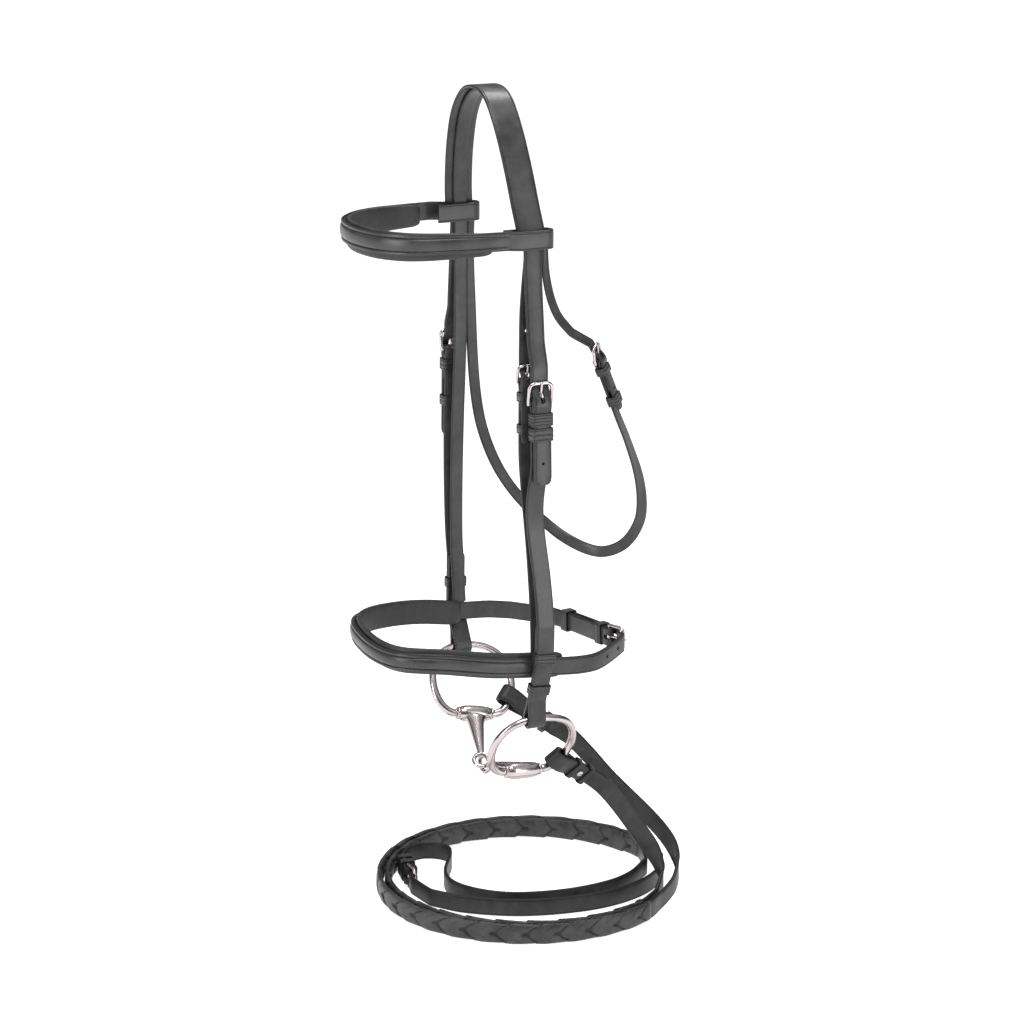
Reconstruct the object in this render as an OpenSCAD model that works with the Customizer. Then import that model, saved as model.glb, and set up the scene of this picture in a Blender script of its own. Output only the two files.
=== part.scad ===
// Snaffle bridle, full size, in millimetres.
// +Z is up, -Y is the way the horse faces, +X is the near side (the horse's left).
// The origin is the middle of the crown's underside, where the bridle rests on the poll.

/* [Leather] */
// Width of the crown over the poll
crown_w = 25; // [22:1:30]
// Width of the cheek straps and of the plain reins
cheek_w = 16; // [14:1:18]
// Thickness of the cheek straps and of the noseband strap
cheek_t = 2.8; // [2.4:0.1:3]
// Width of the noseband's head strap
sliphead_w = 12; // [10:1:13]
// Thickness of the light straps: head strap and throatlash
light_t = 2.2; // [1.8:0.1:2.4]
// Width of the throatlash
throat_w = 10; // [9:1:12]

/* [Browband and noseband] */
// Height of the browband's padding at the front
browband_h = 22; // [18:1:24]
// Height of the noseband's padding
noseband_h = 21; // [18:1:23]
// Thickness of the padding
pad_t = 5; // [3:0.5:6]
// Thickness of the raised and stitched front strips
raised_t = 2.4; // [1.5:0.1:3]

/* [Bit] */
// Radius of the ring's wire
ring_r = 3.6; // [3.2:0.1:4]
// Height of a ring, from the top wire's centre to the straight side's axis
ring_drop = 64; // [60:1:66]
// Width of a ring, between the wire's centres
ring_w = 74; // [68:1:78]
// Radius of the round barrel at a mouthpiece half's outer end
barrel_r = 7.2; // [6.4:0.1:7.4]
// Radius of a mouthpiece half beside its barrel
cannon_r = 7; // [6:0.5:8]

/* [Reins] */
// Thickness of the rein leather
rein_t = 3; // [2.5:0.1:3.4]
// Width over the lacing
laced_w = 19; // [18:0.5:20]
// Thickness over the lacing
laced_t = 5.4; // [5:0.1:5.6]

/* [Hidden] */

leather = [0.16, 0.16, 0.17];
leather_dark = [0.1, 0.1, 0.11];
steel = [0.75, 0.73, 0.73];

fit_gap = 0.3;        // between two layers of leather, or leather and metal
keeper_wall = 1.2;
UP = [0, 0, 1];
AFT = [0, 1, 0];
FRONT = [0, -1, 0];

// ---------------------------------------------------------------- vectors and sweeps

function unit(v) = v / norm(v);
function last(v) = v[len(v) - 1];
function flip(v) = [for (i = [len(v) - 1 : -1 : 0]) v[i]];
function tangent(p, i) = unit(p[min(i + 1, len(p) - 1)] - p[max(i - 1, 0)]);
function at_index(v, i) = is_list(v[0]) ? v[i] : v;

// A point of a Catmull-Rom curve between b and c
function curve_point(a, b, c, d, u) =
    0.5 * (2 * b + (c - a) * u + (2 * a - 5 * b + 4 * c - d) * u * u
        + (3 * b - a - 3 * c + d) * u * u * u);

// The points of a smooth curve through p, with k steps between two points
function smooth(p, k) = concat(
    [for (i = [0 : len(p) - 2]) for (j = [0 : k - 1])
        curve_point(p[max(i - 1, 0)], p[i], p[i + 1], p[min(i + 2, len(p) - 1)], j / k)],
    [last(p)]);

// Outward face of a strap at point i, from the direction that its width runs in
function face_dir(p, i, across) = unit(cross(at_index(across, i), tangent(p, i)));

// A strap's path, moved by d along its face direction
function shifted(p, across, d) = [for (i = [0 : len(p) - 1]) p[i] + face_dir(p, i, across) * d];

// A rectangle of a strap's section: along its width, then along its face
function strap_section(w, t) = [[-w / 2, -t / 2], [w / 2, -t / 2], [w / 2, t / 2], [-w / 2, t / 2]];
function round_section(r, sides) = [for (k = [0 : sides - 1]) r * [cos(k * 360 / sides),
    sin(k * 360 / sides)]];

// An oval section, flattened at the back and the front, for padding
function pad_section(w, t) = [for (k = [0 : 11]) let (c = cos(k * 30 + 15), s = sin(k * 30 + 15))
    [w / 2 * sign(c) * pow(abs(c), 0.6), t / 2 * sign(s) * pow(abs(s), 0.6)]];

function swept_ring(p, i, across, section) =
    let (n = face_dir(p, i, across), s = cross(tangent(p, i), n))
    [for (q = section) p[i] + s * q[0] + n * q[1]];

function side_faces(rings, m, from, turn) = [for (i = [0 : rings - 2]) for (j = [0 : m - 1])
    let (a = from + i * m + j, b = from + i * m + (j + 1) % m) for (k = [0, 1])
    turn ? (k == 0 ? [a, b + m, b] : [a, a + m, b + m]) : (k == 0 ? [a, b, b + m] : [a, b + m, a + m])];

// A solid swept along p; sections holds one section, or one for each point
module sweep(p, across, sections) {
    rings = len(p);
    one = !is_list(sections[0][0]);
    m = one ? len(sections) : len(sections[0]);
    points = [for (i = [0 : rings - 1]) each swept_ring(p, i, across, one ? sections : sections[i])];
    polyhedron(points, concat(
        [[for (j = [m - 1 : -1 : 0]) j]],
        [[for (j = [0 : m - 1]) (rings - 1) * m + j]],
        side_faces(rings, m, 0, false)));
}

// A sleeve swept along p, with a hole of its own section through it
module swept_sleeve(p, across, outer, inner) {
    rings = len(p);
    m = len(outer);
    wall = rings * m;
    points = concat(
        [for (i = [0 : rings - 1]) each swept_ring(p, i, across, outer)],
        [for (i = [0 : rings - 1]) each swept_ring(p, i, across, inner)]);
    end = (rings - 1) * m;
    polyhedron(points, concat(
        side_faces(rings, m, 0, false),
        side_faces(rings, m, wall, true),
        [for (j = [0 : m - 1]) let (k = (j + 1) % m) for (h = [0, 1])
            h == 0 ? [j, wall + k, k] : [j, wall + j, wall + k]],
        [for (j = [0 : m - 1]) let (k = (j + 1) % m) for (h = [0, 1])
            h == 0 ? [end + j, end + k, wall + end + k] : [end + j, wall + end + k, wall + end + j]]));
}

module strap(p, across, w, t) sweep(p, across, strap_section(w, t));

// ---------------------------------------------------------------- local frames
// A frame is [origin, outward, width, up]: its local x is a strap's outward face,
// y runs across the strap and z along it.

function make_frame(o, up, across) =
    let (t = unit(up), n = unit(cross(across, t))) [o, n, cross(t, n), t];
function in_frame(f, v) = f[0] + f[1] * v[0] + f[2] * v[1] + f[3] * v[2];
function path_in(f, p) = [for (q = p) in_frame(f, [q[0], 0, q[1]])];
module in_place(f)
    multmatrix([for (r = [0 : 2]) [f[1][r], f[2][r], f[3][r], f[0][r]]]) children();

// ---------------------------------------------------------------- buckles
// A buckle is [strap width, strap thickness, wire radius, length]. In its frame the strap
// that carries it comes up from below as the back layer, at x = 0, and folds over the heel
// bar, at z = 0. The billet comes down behind the toe bar and passes over the heel bar.

function b_w(b) = b[0];
function b_t(b) = b[1];
function b_r(b) = b[2];
function b_len(b) = b[3];
function layer(b) = b_t(b) + fit_gap;
function heel_x(b) = layer(b) / 2;
function wrap_r(b) = b_r(b) + 0.15 + b_t(b) / 2;
function toe_x(b) = 0.6 + b_t(b) / 2 + 0.25 + b_r(b);
function over_x(b) = heel_x(b) + wrap_r(b) + layer(b);
function tongue_r(b) = 0.75 * b_r(b);
function tongue_tip(b) = [toe_x(b) + b_r(b) + 0.4 + tongue_r(b), b_len(b) + 1.5];

// The strap round the heel bar, from the back layer's foot to the folded end
function fold_path(b, back, front) = concat(
    [[0, -back], [0, -2.3 * wrap_r(b)]],
    [for (a = [200 : -22 : -20]) [heel_x(b) + wrap_r(b) * cos(a), wrap_r(b) * sin(a)]],
    [[layer(b), -2.3 * wrap_r(b)], [layer(b), -front]]);

// The billet, from above the toe bar down to its tip
function billet_path(b, above, tail) = [
    [0.6, b_len(b) + above], [0.6, b_len(b) + 2], [1.2, b_len(b) - 3],
    [over_x(b) - 1.4, 0.36 * b_len(b)], [over_x(b), 0], [over_x(b) - 0.3, -0.2 * b_len(b)],
    [2 * layer(b), -0.43 * b_len(b)], [2 * layer(b), -0.5 * (tail + 0.43 * b_len(b))],
    [2 * layer(b), -tail]];

// Cuts the tongue's way through the billet, and the slot in the fold round the tongue's foot
module tongue_way(b, low, high, near_x)
    translate([near_x, -1.9, low]) cube([14 - near_x, 3.8, high - low]);
module billet_way(b) tongue_way(b, 1, 0.74 * b_len(b), 1.6 * heel_x(b));
module fold_way(b) tongue_way(b, -b_r(b) - 2, 7, -5);

module buckle_frame(b) {
    side = b_w(b) / 2 + 0.6 + b_r(b);
    corner = 3;
    outline = concat(
        [[heel_x(b), -side, -1.2], [heel_x(b), -side, 2]],
        [for (a = [0 : 30 : 90]) [toe_x(b), -side + corner * (1 - cos(a)),
        b_len(b) - corner * (1 - sin(a))]],
        [for (a = [90 : -30 : 0]) [toe_x(b), side - corner * (1 - cos(a)),
        b_len(b) - corner * (1 - sin(a))]],
        [[heel_x(b), side, 2], [heel_x(b), side, -1.2]]);
    sweep(outline, [1, 0, 0], round_section(b_r(b), 10));
    translate([heel_x(b), side, 0]) rotate([90, 0, 0]) cylinder(h = 2 * side, r = b_r(b) - 0.15,
        $fn = 32);
}

module buckle_tongue(b) {
    tip = tongue_tip(b);
    run = tip - [heel_x(b), 0];
    lean = atan2(run[0], run[1]);
    difference() {
        translate([heel_x(b), 0, 0]) {
            translate([0, 1.6, 0]) rotate([90, 0, 0]) cylinder(h = 3.2, r = b_r(b) + 0.9, $fn = 32);
            rotate([0, lean, 0]) cylinder(h = norm(run), r1 = tongue_r(b),
                r2 = tongue_r(b) * 0.8, $fn = 24);
        }
        translate([heel_x(b), 3, 0]) rotate([90, 0, 0]) cylinder(h = 6, r = b_r(b) - 0.1, $fn = 32);
    }
}

// A keeper from z = low, round the layers between the two x values
module keeper(w, low, h, x_in, x_out) {
    gap = 0.3;
    translate([0, 0, low]) linear_extrude(h) difference() {
        translate([x_in - gap - keeper_wall, -w / 2 - gap - keeper_wall])
            square([x_out - x_in + 2 * (gap + keeper_wall), w + 2 * (gap + keeper_wall)]);
        translate([x_in - gap, -w / 2 - gap]) square([x_out - x_in + 2 * gap, w + 2 * gap]);
    }
}
module buckle_keeper(b, low, h)
    keeper(b_w(b), low, h, -b_t(b) / 2, 2 * layer(b) + b_t(b) / 2);

cheek_buckle = [cheek_w, cheek_t, 1.5, 17];
head_buckle = [sliphead_w, light_t, 1.3, 13];
throat_buckle = [throat_w, light_t, 1.3, 13];
rein_buckle_size = [cheek_w, rein_t, 1.5, 16];

// ---------------------------------------------------------------- places of the buckles
near_cheek_at = make_frame([88, 9, -247], [-2, 0, 70], AFT);
far_cheek_at = make_frame([-88, 7, -236], [2, 0, 70], FRONT);
headstrap_at = make_frame([76, 2, -230], [0, 0, 1], AFT);
throat_at = make_frame([74, 68, -219], [3, -18, 42], [-32, 32, 16]);
chin_at = make_frame([36, 99, -474], [70, 12, 2], [-2, 0, 70]);
rein_at = make_frame([-50, -56, -701], [1, -0.2, 0], UP);

// ---------------------------------------------------------------- crown and throatlash

// Middle of the crown leather, from the near side over the poll to the far side
crown_rise = [[84, 8, -198], [80, 8, -163], [77.5, 8, -138], [75.5, 8, -113], [70, 5, -88],
    [59, 2, -53], [43.5, 0, -22], [23, 0, -2], [0, 0, 3.2]];
crown_arch = smooth(concat(crown_rise, [for (i = [7 : -1 : 0]) [-crown_rise[i][0], crown_rise[i][1],
    crown_rise[i][2]]]), 3);
crown_ends = 9;       // points of the arch at each end where it has the cheek's width

module headpiece() color(leather) difference() {
    near = flip(path_in(near_cheek_at, billet_path(cheek_buckle, 14, 68)));
    far = path_in(far_cheek_at, billet_path(cheek_buckle, 8, 78));
    path = concat([for (i = [0 : len(near) - 1]) near[i]], crown_arch, far);
    first = len(near) + crown_ends;
    sections = [for (i = [0 : len(path) - 1])
        strap_section(i > first && i < len(path) - 1 - len(far) - crown_ends ? crown_w
            : cheek_w, cheek_t)];
    sweep(path, AFT, sections);
    in_place(near_cheek_at) billet_way(cheek_buckle);
    in_place(far_cheek_at) billet_way(cheek_buckle);
}

sliphead_drop = cheek_t / 2 + fit_gap + light_t / 2;
headstrap_arch = [for (i = [8 : len(crown_arch) - 9])
    crown_arch[i] - face_dir(crown_arch, i, AFT) * sliphead_drop];
module noseband_headstrap() color(leather_dark) difference() {
    near = flip(path_in(headstrap_at, billet_path(head_buckle, 12, 52)));
    far = smooth([[-76, 9, -163], [-77, 9, -228], [-80, 8, -288], [-84, 8, -348], [-85, 8, -400],
        [-84, 9, -438], [-83, 10, -464]], 2);
    sweep(concat(near, [[74, 4, -168]], headstrap_arch, far), AFT, strap_section(sliphead_w, light_t));
    in_place(headstrap_at) billet_way(head_buckle);
}

// Middle of the long throatlash strap, from below its buckle to the far side's shoulder
throat_route = [[66, 98, -285], [57, 111, -310], [47, 123, -338], [36, 129, -370],
    [20, 123, -396], [0, 109, -408], [-20, 92, -403], [-38, 76, -390], [-50, 54, -366],
    [-60, 36, -336], [-70, 25, -298], [-78, 22, -253], [-82, 21.4, -198], [-81.5, 20.6, -148],
    [-76, 19.7, -115]];
// Widthwise direction of the strap at each of those points
throat_across = [[-30, 32, 16], [-24, 34, 14], [-10, 38, 8], [2, 38, -10], [14, 30, -30],
    [16, 10, -36], [16, -10, -36], [14, -24, -30], [10, -34, -26], [6, -38, -20], [2, -40, -14],
    [0, -40, -6], [0, -40, 0], [0, -40, 0], [0, -40, 0]];
throat_steps = 2;
split_w = 6.6;        // width of the throatlash where it leaves the crown
module throatlash_strap() color(leather) difference() {
    fold = flip(path_in(throat_at, fold_path(throat_buckle, 52, 22)));
    route = smooth(throat_route, throat_steps);
    turn = smooth(throat_across, throat_steps);
    path = concat(fold, route);
    sweep(path, concat([for (q = fold) throat_at[2]], turn),
        [for (i = [0 : len(path) - 1]) strap_section(min(throat_w,
        split_w + 0.8 * (len(path) - 1 - i)), light_t)]);
    in_place(throat_at) fold_way(throat_buckle);
}
module throatlash_billet() color(leather) difference() {
    billet = path_in(throat_at, billet_path(throat_buckle, 3, 48));
    route = [[74.5, 19.7, -114], [75, 20.4, -138], [75.5, 24.5, -161], [76, 32.5, -180],
        [76.5, 45, -194]];
    path = concat(smooth(route, 2), billet);
    turn = smooth([[0, -40, 0], [4, -38, -8], [12, -34, -18], [22, -30, -20], [28, -30, -16]], 2);
    sweep(path, concat(turn, [for (q = billet) -throat_at[2]]),
        [for (i = [0 : len(path) - 1]) strap_section(min(throat_w, split_w + 0.5 * i), light_t)]);
    in_place(throat_at) billet_way(throat_buckle);
}

// ---------------------------------------------------------------- browband
// Middle of the browband's strap, round the brow from near to far
brow_side = [[82, -16, -112], [80, -36, -112], [76, -61, -112], [68, -84, -112.5], [54, -101, -113],
    [32, -114, -113], [0, -119, -113]];
brow_route = smooth(concat(brow_side, [for (i = [5 : -1 : 0]) [-brow_side[i][0], brow_side[i][1],
    brow_side[i][2]]]), 3);
brow_rings = len(brow_route);
function brow_bulge(i) = 1 - pow(abs(2 * i / (brow_rings - 1) - 1), 3);
brow_loop = [[68.6, -14, -113], [68.6, 19.5, -113], [70.2, 23.5, -113], [76, 25.6, -113],
    [81, 23.5, -113],
    [82.5, 19.5, -113], [82.5, -2, -113]];
module browband_strap() color(leather)
    sweep(concat(brow_loop, brow_route, [for (q = flip(brow_loop)) [-q[0], q[1], q[2]]]), UP,
        strap_section(16, 2.4));
module browband_padding() color(leather_dark)
    sweep([for (i = [2 : brow_rings - 3]) brow_route[i] - face_dir(brow_route, i,
        UP) * (1.4 + pad_t / 2)], UP,
        [for (i = [2 : brow_rings - 3]) pad_section(16 + (browband_h - 16) * brow_bulge(i), pad_t)]);
module browband_raised_front() color(leather)
    sweep([for (i = [0 : brow_rings - 1]) brow_route[i] + face_dir(brow_route, i,
        UP) * (1.4 + raised_t / 2)], UP,
        [for (i = [0 : brow_rings - 1]) strap_section(13 + 4 * brow_bulge(i),
        raised_t * (0.4 + 0.6 * brow_bulge(i)))]);

// ---------------------------------------------------------------- cheeks and bit rings
// A ring is [its pivot in the cheek's loop, side, inward tilt, turn in its own plane]
near_bit_ring = [[86, 14.5, -521], 1, 28.5, 5];
far_bit_ring = [[-83, 19.5, -505], -1, 33, 9];
loop_seat = [-8, -0.5];   // the place on a ring's wire that hangs in the cheek's loop, as [y, z]
near_loop_at = make_frame(near_bit_ring[0] + ring_dir(near_bit_ring, loop_seat), [10, 0, 44], AFT);
far_loop_at = make_frame(far_bit_ring[0] + ring_dir(far_bit_ring, loop_seat), [-12, 0, 40], FRONT);

// A strap that turns under a wire at the frame's origin, with room below it
function loop_turn(t, wire, room) = let (r = wire + 0.35 + t / 2) concat(
    [[r, room]], [for (a = [0 : -30 : -180]) [r * cos(a), r * sin(a) - room]], [[-r, room]]);

// The two layers above the ring lie on each side of this curve, from the returned end down
near_lap = smooth([[97, 11, -436], [98, 10, -458], [97, 8.5, -476], [93.5, 7, -492],
    in_frame(near_loop_at, [0, 0, 18])], 3);
far_lap = smooth([[-93.5, 11, -422], [-96.5, 12, -443], [-97.5, 12, -460], [-95.5, 11.5, -475],
    in_frame(far_loop_at, [0, 0, 16])], 3);
lap_x = layer(cheek_buckle) / 2;
stud_at = 2;          // the lap's point where the stud sits, and those of the two keepers
lap_keepers_at = [4, 9];
function lap_frame(lap, i, across) = make_frame(lap[i], -tangent(lap, i), across);

module cheekpiece(buckle_at, route, lap, loop_at, across) difference() {
    fold = flip(path_in(buckle_at, fold_path(cheek_buckle, 44, 26)));
    outer = shifted(lap, -across, lap_x);
    middle = smooth(concat([last(fold)], route, [outer[0]]), 3);
    turn = path_in(loop_at, loop_turn(cheek_t, ring_r, 1.2));
    path = concat(fold, [for (i = [1 : len(middle) - 2]) middle[i]],
        outer, turn, flip(shifted(lap, -across, -lap_x)));
    sweep(path, across, strap_section(cheek_w, cheek_t));
    in_place(buckle_at) fold_way(cheek_buckle);
    in_place(lap_frame(lap, stud_at, across)) translate([-6, 0, 0]) rotate([0, 90, 0]) cylinder(h = 6,
        r = 2, $fn = 24);
}
module near_cheekpiece() color(leather)
    cheekpiece(near_cheek_at, [[88.5, 9, -304], [87, 6, -332], [87, 7, -357], [91, 10, -391],
        [95, 11, -416]], near_lap, near_loop_at, AFT);
module far_cheekpiece() color(leather)
    cheekpiece(far_cheek_at, [[-91, 7, -298], [-91.5, 7, -348],
        [-92, 8, -393]], far_lap, far_loop_at, FRONT);

// A stud: its neck through the returned layer and its head inside
module stud_solid(t) translate([0.1 - fit_gap / 2, 0, 0]) rotate([0, -90, 0]) {
    cylinder(h = t + 0.6, r = 1.5, $fn = 24);
    translate([0, 0, t + 0.3]) cylinder(h = 1.6, r = 3, $fn = 32);
}
module lap_keeper(w, t, low, h) keeper(w, low, h, -t - fit_gap, t + fit_gap);

// ---------------------------------------------------------------- noseband
// Middle of the noseband strap: near side, nose, far side, then the chin to its buckle
nose_near = [[64, 94, -475.5], [74, 79, -478], [81, 64, -479.5], [85, 44, -478.5], [86.5, 22, -476],
    [86, 0, -474],
    [84.5, -26, -471.5], [82.5, -48, -468], [78.5, -70, -464.5], [72, -90, -463], [61, -104, -463],
    [45, -112, -463], [24, -115.5, -462.5], [0, -115, -462]];
nose_far = [[-24, -112, -461], [-45, -104, -461], [-61, -89, -462], [-73, -69, -464], [-80, -46, -466],
    [-84, -23, -469], [-86, 0, -473], [-86, 20, -474], [-80, 38, -473.5], [-66, 55, -473]];
nose_steps = 2;
nose_middle = smooth(concat(nose_near, nose_far), nose_steps);
pad_from = 7;         // the padded stretch, by its first and last point on the smooth curve
pad_to = 41;
module noseband_strap() color(leather) difference() {
    billet = flip(path_in(chin_at, billet_path(cheek_buckle, 5, 76)));
    fold = path_in(chin_at, fold_path(cheek_buckle, 78, 26));
    sweep(concat(billet, nose_middle, fold), UP, strap_section(cheek_w, cheek_t));
    in_place(chin_at) billet_way(cheek_buckle);
    in_place(chin_at) fold_way(cheek_buckle);
}
module noseband_padding() color(leather_dark)
    sweep([for (i = [pad_from : pad_to]) nose_middle[i] - face_dir(nose_middle, i,
        UP) * (cheek_t / 2 + 0.2 + pad_t / 2)],
        UP, pad_section(noseband_h, pad_t));
module noseband_raised_front() color(leather)
    sweep([for (i = [pad_from + 2 : pad_to - 2])
        nose_middle[i] + face_dir(nose_middle, i, UP) * (cheek_t / 2 + 0.2 + raised_t / 2)], UP,
        [for (i = [pad_from + 2 : pad_to - 2])
            strap_section(14, raised_t * min(1, 0.35 + 0.13 * min(i - pad_from - 2, pad_to - 2 - i)))]);

module noseband_cheek_strap() color(leather_dark) difference() {
    fold = flip(path_in(headstrap_at, fold_path(head_buckle, 62, 24)));
    route = [[77, 4, -328], [79, 7, -368], [81, 9, -408], [82, 10, -438], [83, 10, -466]];
    sweep(concat(fold, smooth(route, 2)), AFT, strap_section(sliphead_w, light_t));
    in_place(headstrap_at) fold_way(head_buckle);
}

// ---------------------------------------------------------------- bit
barrel_len = 34;
pin_r = 3.2;
eye_r = 7;            // radius of an eye's wire centre
eye_wire = 1.9;
middle_joint = [-0.5, -4, -587];

// A direction in a ring's plane, from [y, z] with z up the ring
function ring_dir(ring, v) = let (c = cos(ring[3]), s = sin(ring[3]), z = v[1] * c - v[0] * s)
    [z * sin(ring[2]) * ring[1], v[0] * c + v[1] * s, z * cos(ring[2])];
function barrel_mid(ring) = ring[0] + ring_dir(ring, [0, -ring_drop]);
function barrel_at(ring) = make_frame(barrel_mid(ring), ring_dir(ring, [1, 0]), ring_dir(ring, [0, 1]));

// The ring's wire in its own plane, as [y, z] from the top wire: an egg with a straight foot
ring_side = [[19, -62], [25.5, -59.5], [31.5, -53], [35.5, -44], [37, -34], [35.8, -23.5], [31.5, -13.8],
    [24, -6], [13, -1.3], [0, 0]];
function ring_wire() = [for (q = concat(ring_side, [for (i = [8 : -1 : 0]) [-ring_side[i][0],
    ring_side[i][1]]]))
    [0, q[0] * ring_w / 74, q[1] * ring_drop / 62]];
module ring_solid() {
    sweep(smooth(ring_wire(), 3), [1, 0, 0], round_section(ring_r, 12));
    translate([0, 20, -ring_drop]) rotate([90, 0, 0]) cylinder(h = 40, r = pin_r, $fn = 48);
}
module ring_place(ring) translate(ring[0]) rotate([0, ring[1] * ring[2], 0]) rotate([-ring[3],
    0, 0]) children();
module near_ring() color(steel) ring_place(near_bit_ring) ring_solid();
module far_ring() color(steel) ring_place(far_bit_ring) ring_solid();

// A mouthpiece half: barrel round the ring's foot, tapered arm, and eye at the middle joint
module cannon(ring, eye_turn) {
    half = barrel_len / 2;
    arm = middle_joint - barrel_mid(ring);
    reach = norm(arm) - eye_r / 2;
    difference() {
        union() {
            in_place(barrel_at(ring)) rotate_extrude($fn = 64) polygon([[0, -half], [barrel_r - 2, -half],
                [barrel_r - 0.9, 4 - half], [barrel_r, -7], [barrel_r, 5], [barrel_r - 1.2, half - 3],
                [barrel_r - 2.4, half], [0, half]]);
            in_place(make_frame(barrel_mid(ring), arm, AFT)) {
                cylinder(h = reach - eye_r, r1 = cannon_r, r2 = 2.9, $fn = 48);
                translate([0, 0, reach]) rotate([0, 90, eye_turn]) rotate_extrude($fn = 48)
                    translate([eye_r, 0]) circle(r = eye_wire, $fn = 32);
            }
        }
        in_place(barrel_at(ring)) translate([0, 0, -half - 1])
            cylinder(h = barrel_len + 2, r = pin_r + 0.08, $fn = 48);
    }
}
module near_cannon() color(steel) cannon(near_bit_ring, 90);
module far_cannon() color(steel) cannon(far_bit_ring, 10);

// ---------------------------------------------------------------- reins
// The places on the rings' wires where the reins turn round them, as [y, z], and the way out
near_rein_seat = [31.8, -54];
far_rein_seat = [34.2, -48.5];
rein_out = [0.83, -0.56];
function rein_frame(ring, seat) = make_frame(ring[0] + ring_dir(ring, seat),
    ring_dir(ring, rein_out), ring_dir(ring, [-rein_out[1], rein_out[0]]));
near_rein_at = rein_frame(near_bit_ring, near_rein_seat);
far_rein_at = rein_frame(far_bit_ring, far_rein_seat);
rein_start = 47;      // from the ring's wire to where the loop ends and the free rein begins
rein_keepers_at = [19, 36];
rein_stud_at = 30;

coil_mid = [-8, 42];
coil_z = -703;
function coil_point(r, a) = [coil_mid[0] + r * cos(a), coil_mid[1] + r * sin(a), coil_z];
lace_from = 30;       // the laced stretch's first and last angle on the coil
lace_to = -260;
coil_steps = 24;
function coil_turn(r) = [for (k = [0 : coil_steps]) coil_point(r,
    lace_from + (lace_to - lace_from) * k / coil_steps)];
near_coil_r = 123.5;
far_coil_r = 131;

near_rein_fall = [[49, 90, -606], [47, 107, -627], [46, 122, -648], [50, 137, -672],
    [64, 140, -692], [83, 124, -703]];
far_rein_fall = [[-31, 94, -585], [-19, 108, -602], [-6, 120, -619], [10, 134, -636],
    [27, 147, -652], [44, 157, -669],
    [58, 158, -686], [74, 146, -698], [91, 124, -703]];
near_rein_back = [[8, 152, -703], [30, 130, -703], [45, 102, -703], [50, 64, -703], [45, 28, -703],
    [33, 0, -703],
    [12, -20, -703], [-12, -29, -703], [-38, -24, -703], [-66, -8, -703], [-86, 0, -703], [-99, -6, -703],
    [-103, -20, -702], [-97, -36, -701]];
far_rein_back = [[4, 169, -703], [34, 152, -703], [56, 124, -703], [67, 88, -703], [67, 54, -703],
    [60, 20, -703],
    [47, -9, -703], [27, -39, -702], [4, -57, -701]];

near_rein_path = let (loop_end = in_frame(near_rein_at, [rein_t / 2 + 0.15, 0, rein_start]),
        fold = path_in(rein_at, fold_path(rein_buckle_size, 28, 22)))
    concat(smooth(concat([loop_end], near_rein_fall), 2),
        coil_turn(near_coil_r), smooth(near_rein_back, 2), fold);
far_rein_path = let (loop_end = in_frame(far_rein_at, [-rein_t / 2 - 0.15, 0, rein_start]),
        billet = path_in(rein_at, billet_path(rein_buckle_size, 10, 33)))
    concat(smooth(concat([loop_end], far_rein_fall), 2),
        coil_turn(far_coil_r), smooth(far_rein_back, 2), billet);

module near_rein() color(leather) difference() {
    strap(near_rein_path, UP, cheek_w, rein_t);
    in_place(rein_at) fold_way(rein_buckle_size);
}
module far_rein() color(leather) difference() {
    strap(far_rein_path, UP, cheek_w, rein_t);
    in_place(rein_at) billet_way(rein_buckle_size);
}
module lacing(r) swept_sleeve(coil_turn(r), UP, strap_section(laced_w, laced_t),
    strap_section(cheek_w + 0.6, rein_t + 0.6));
module near_rein_lacing() color(leather_dark) lacing(near_coil_r);
module far_rein_lacing() color(leather_dark) lacing(far_coil_r);

// The end of a rein round its ring: side is 1 where the free rein leaves from the outer layer
module rein_loop(side) difference() {
    x = (rein_t + fit_gap) / 2;
    path = concat([[x, rein_start - 2.5], [x, 18]], loop_turn(rein_t, ring_r, 3.6),
        [[-x, 18], [-x, rein_start - 4]]);
    strap([for (q = path) [side * q[0], 0, q[1]]], AFT, cheek_w, rein_t);
    translate([-10 * side, 0, rein_stud_at]) rotate([0, side * 90, 0]) cylinder(h = 10, r = 2, $fn = 24);
}
module near_rein_loop() color(leather) in_place(near_rein_at) rein_loop(1);
module far_rein_loop() color(leather) in_place(far_rein_at) rein_loop(-1);

// ---------------------------------------------------------------- output
module near_cheek_buckle() color(steel) in_place(near_cheek_at) buckle_frame(cheek_buckle);
module far_cheek_buckle() color(steel) in_place(far_cheek_at) buckle_frame(cheek_buckle);
module headstrap_buckle() color(steel) in_place(headstrap_at) buckle_frame(head_buckle);
module throatlash_buckle() color(steel) in_place(throat_at) buckle_frame(throat_buckle);
module chin_buckle() color(steel) in_place(chin_at) buckle_frame(cheek_buckle);
module rein_buckle() color(steel) in_place(rein_at) buckle_frame(rein_buckle_size);

module near_cheek_tongue() color(steel) in_place(near_cheek_at) buckle_tongue(cheek_buckle);
module far_cheek_tongue() color(steel) in_place(far_cheek_at) buckle_tongue(cheek_buckle);
module headstrap_tongue() color(steel) in_place(headstrap_at) buckle_tongue(head_buckle);
module throatlash_tongue() color(steel) in_place(throat_at) buckle_tongue(throat_buckle);
module chin_tongue() color(steel) in_place(chin_at) buckle_tongue(cheek_buckle);
module rein_tongue() color(steel) in_place(rein_at) buckle_tongue(rein_buckle_size);

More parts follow.
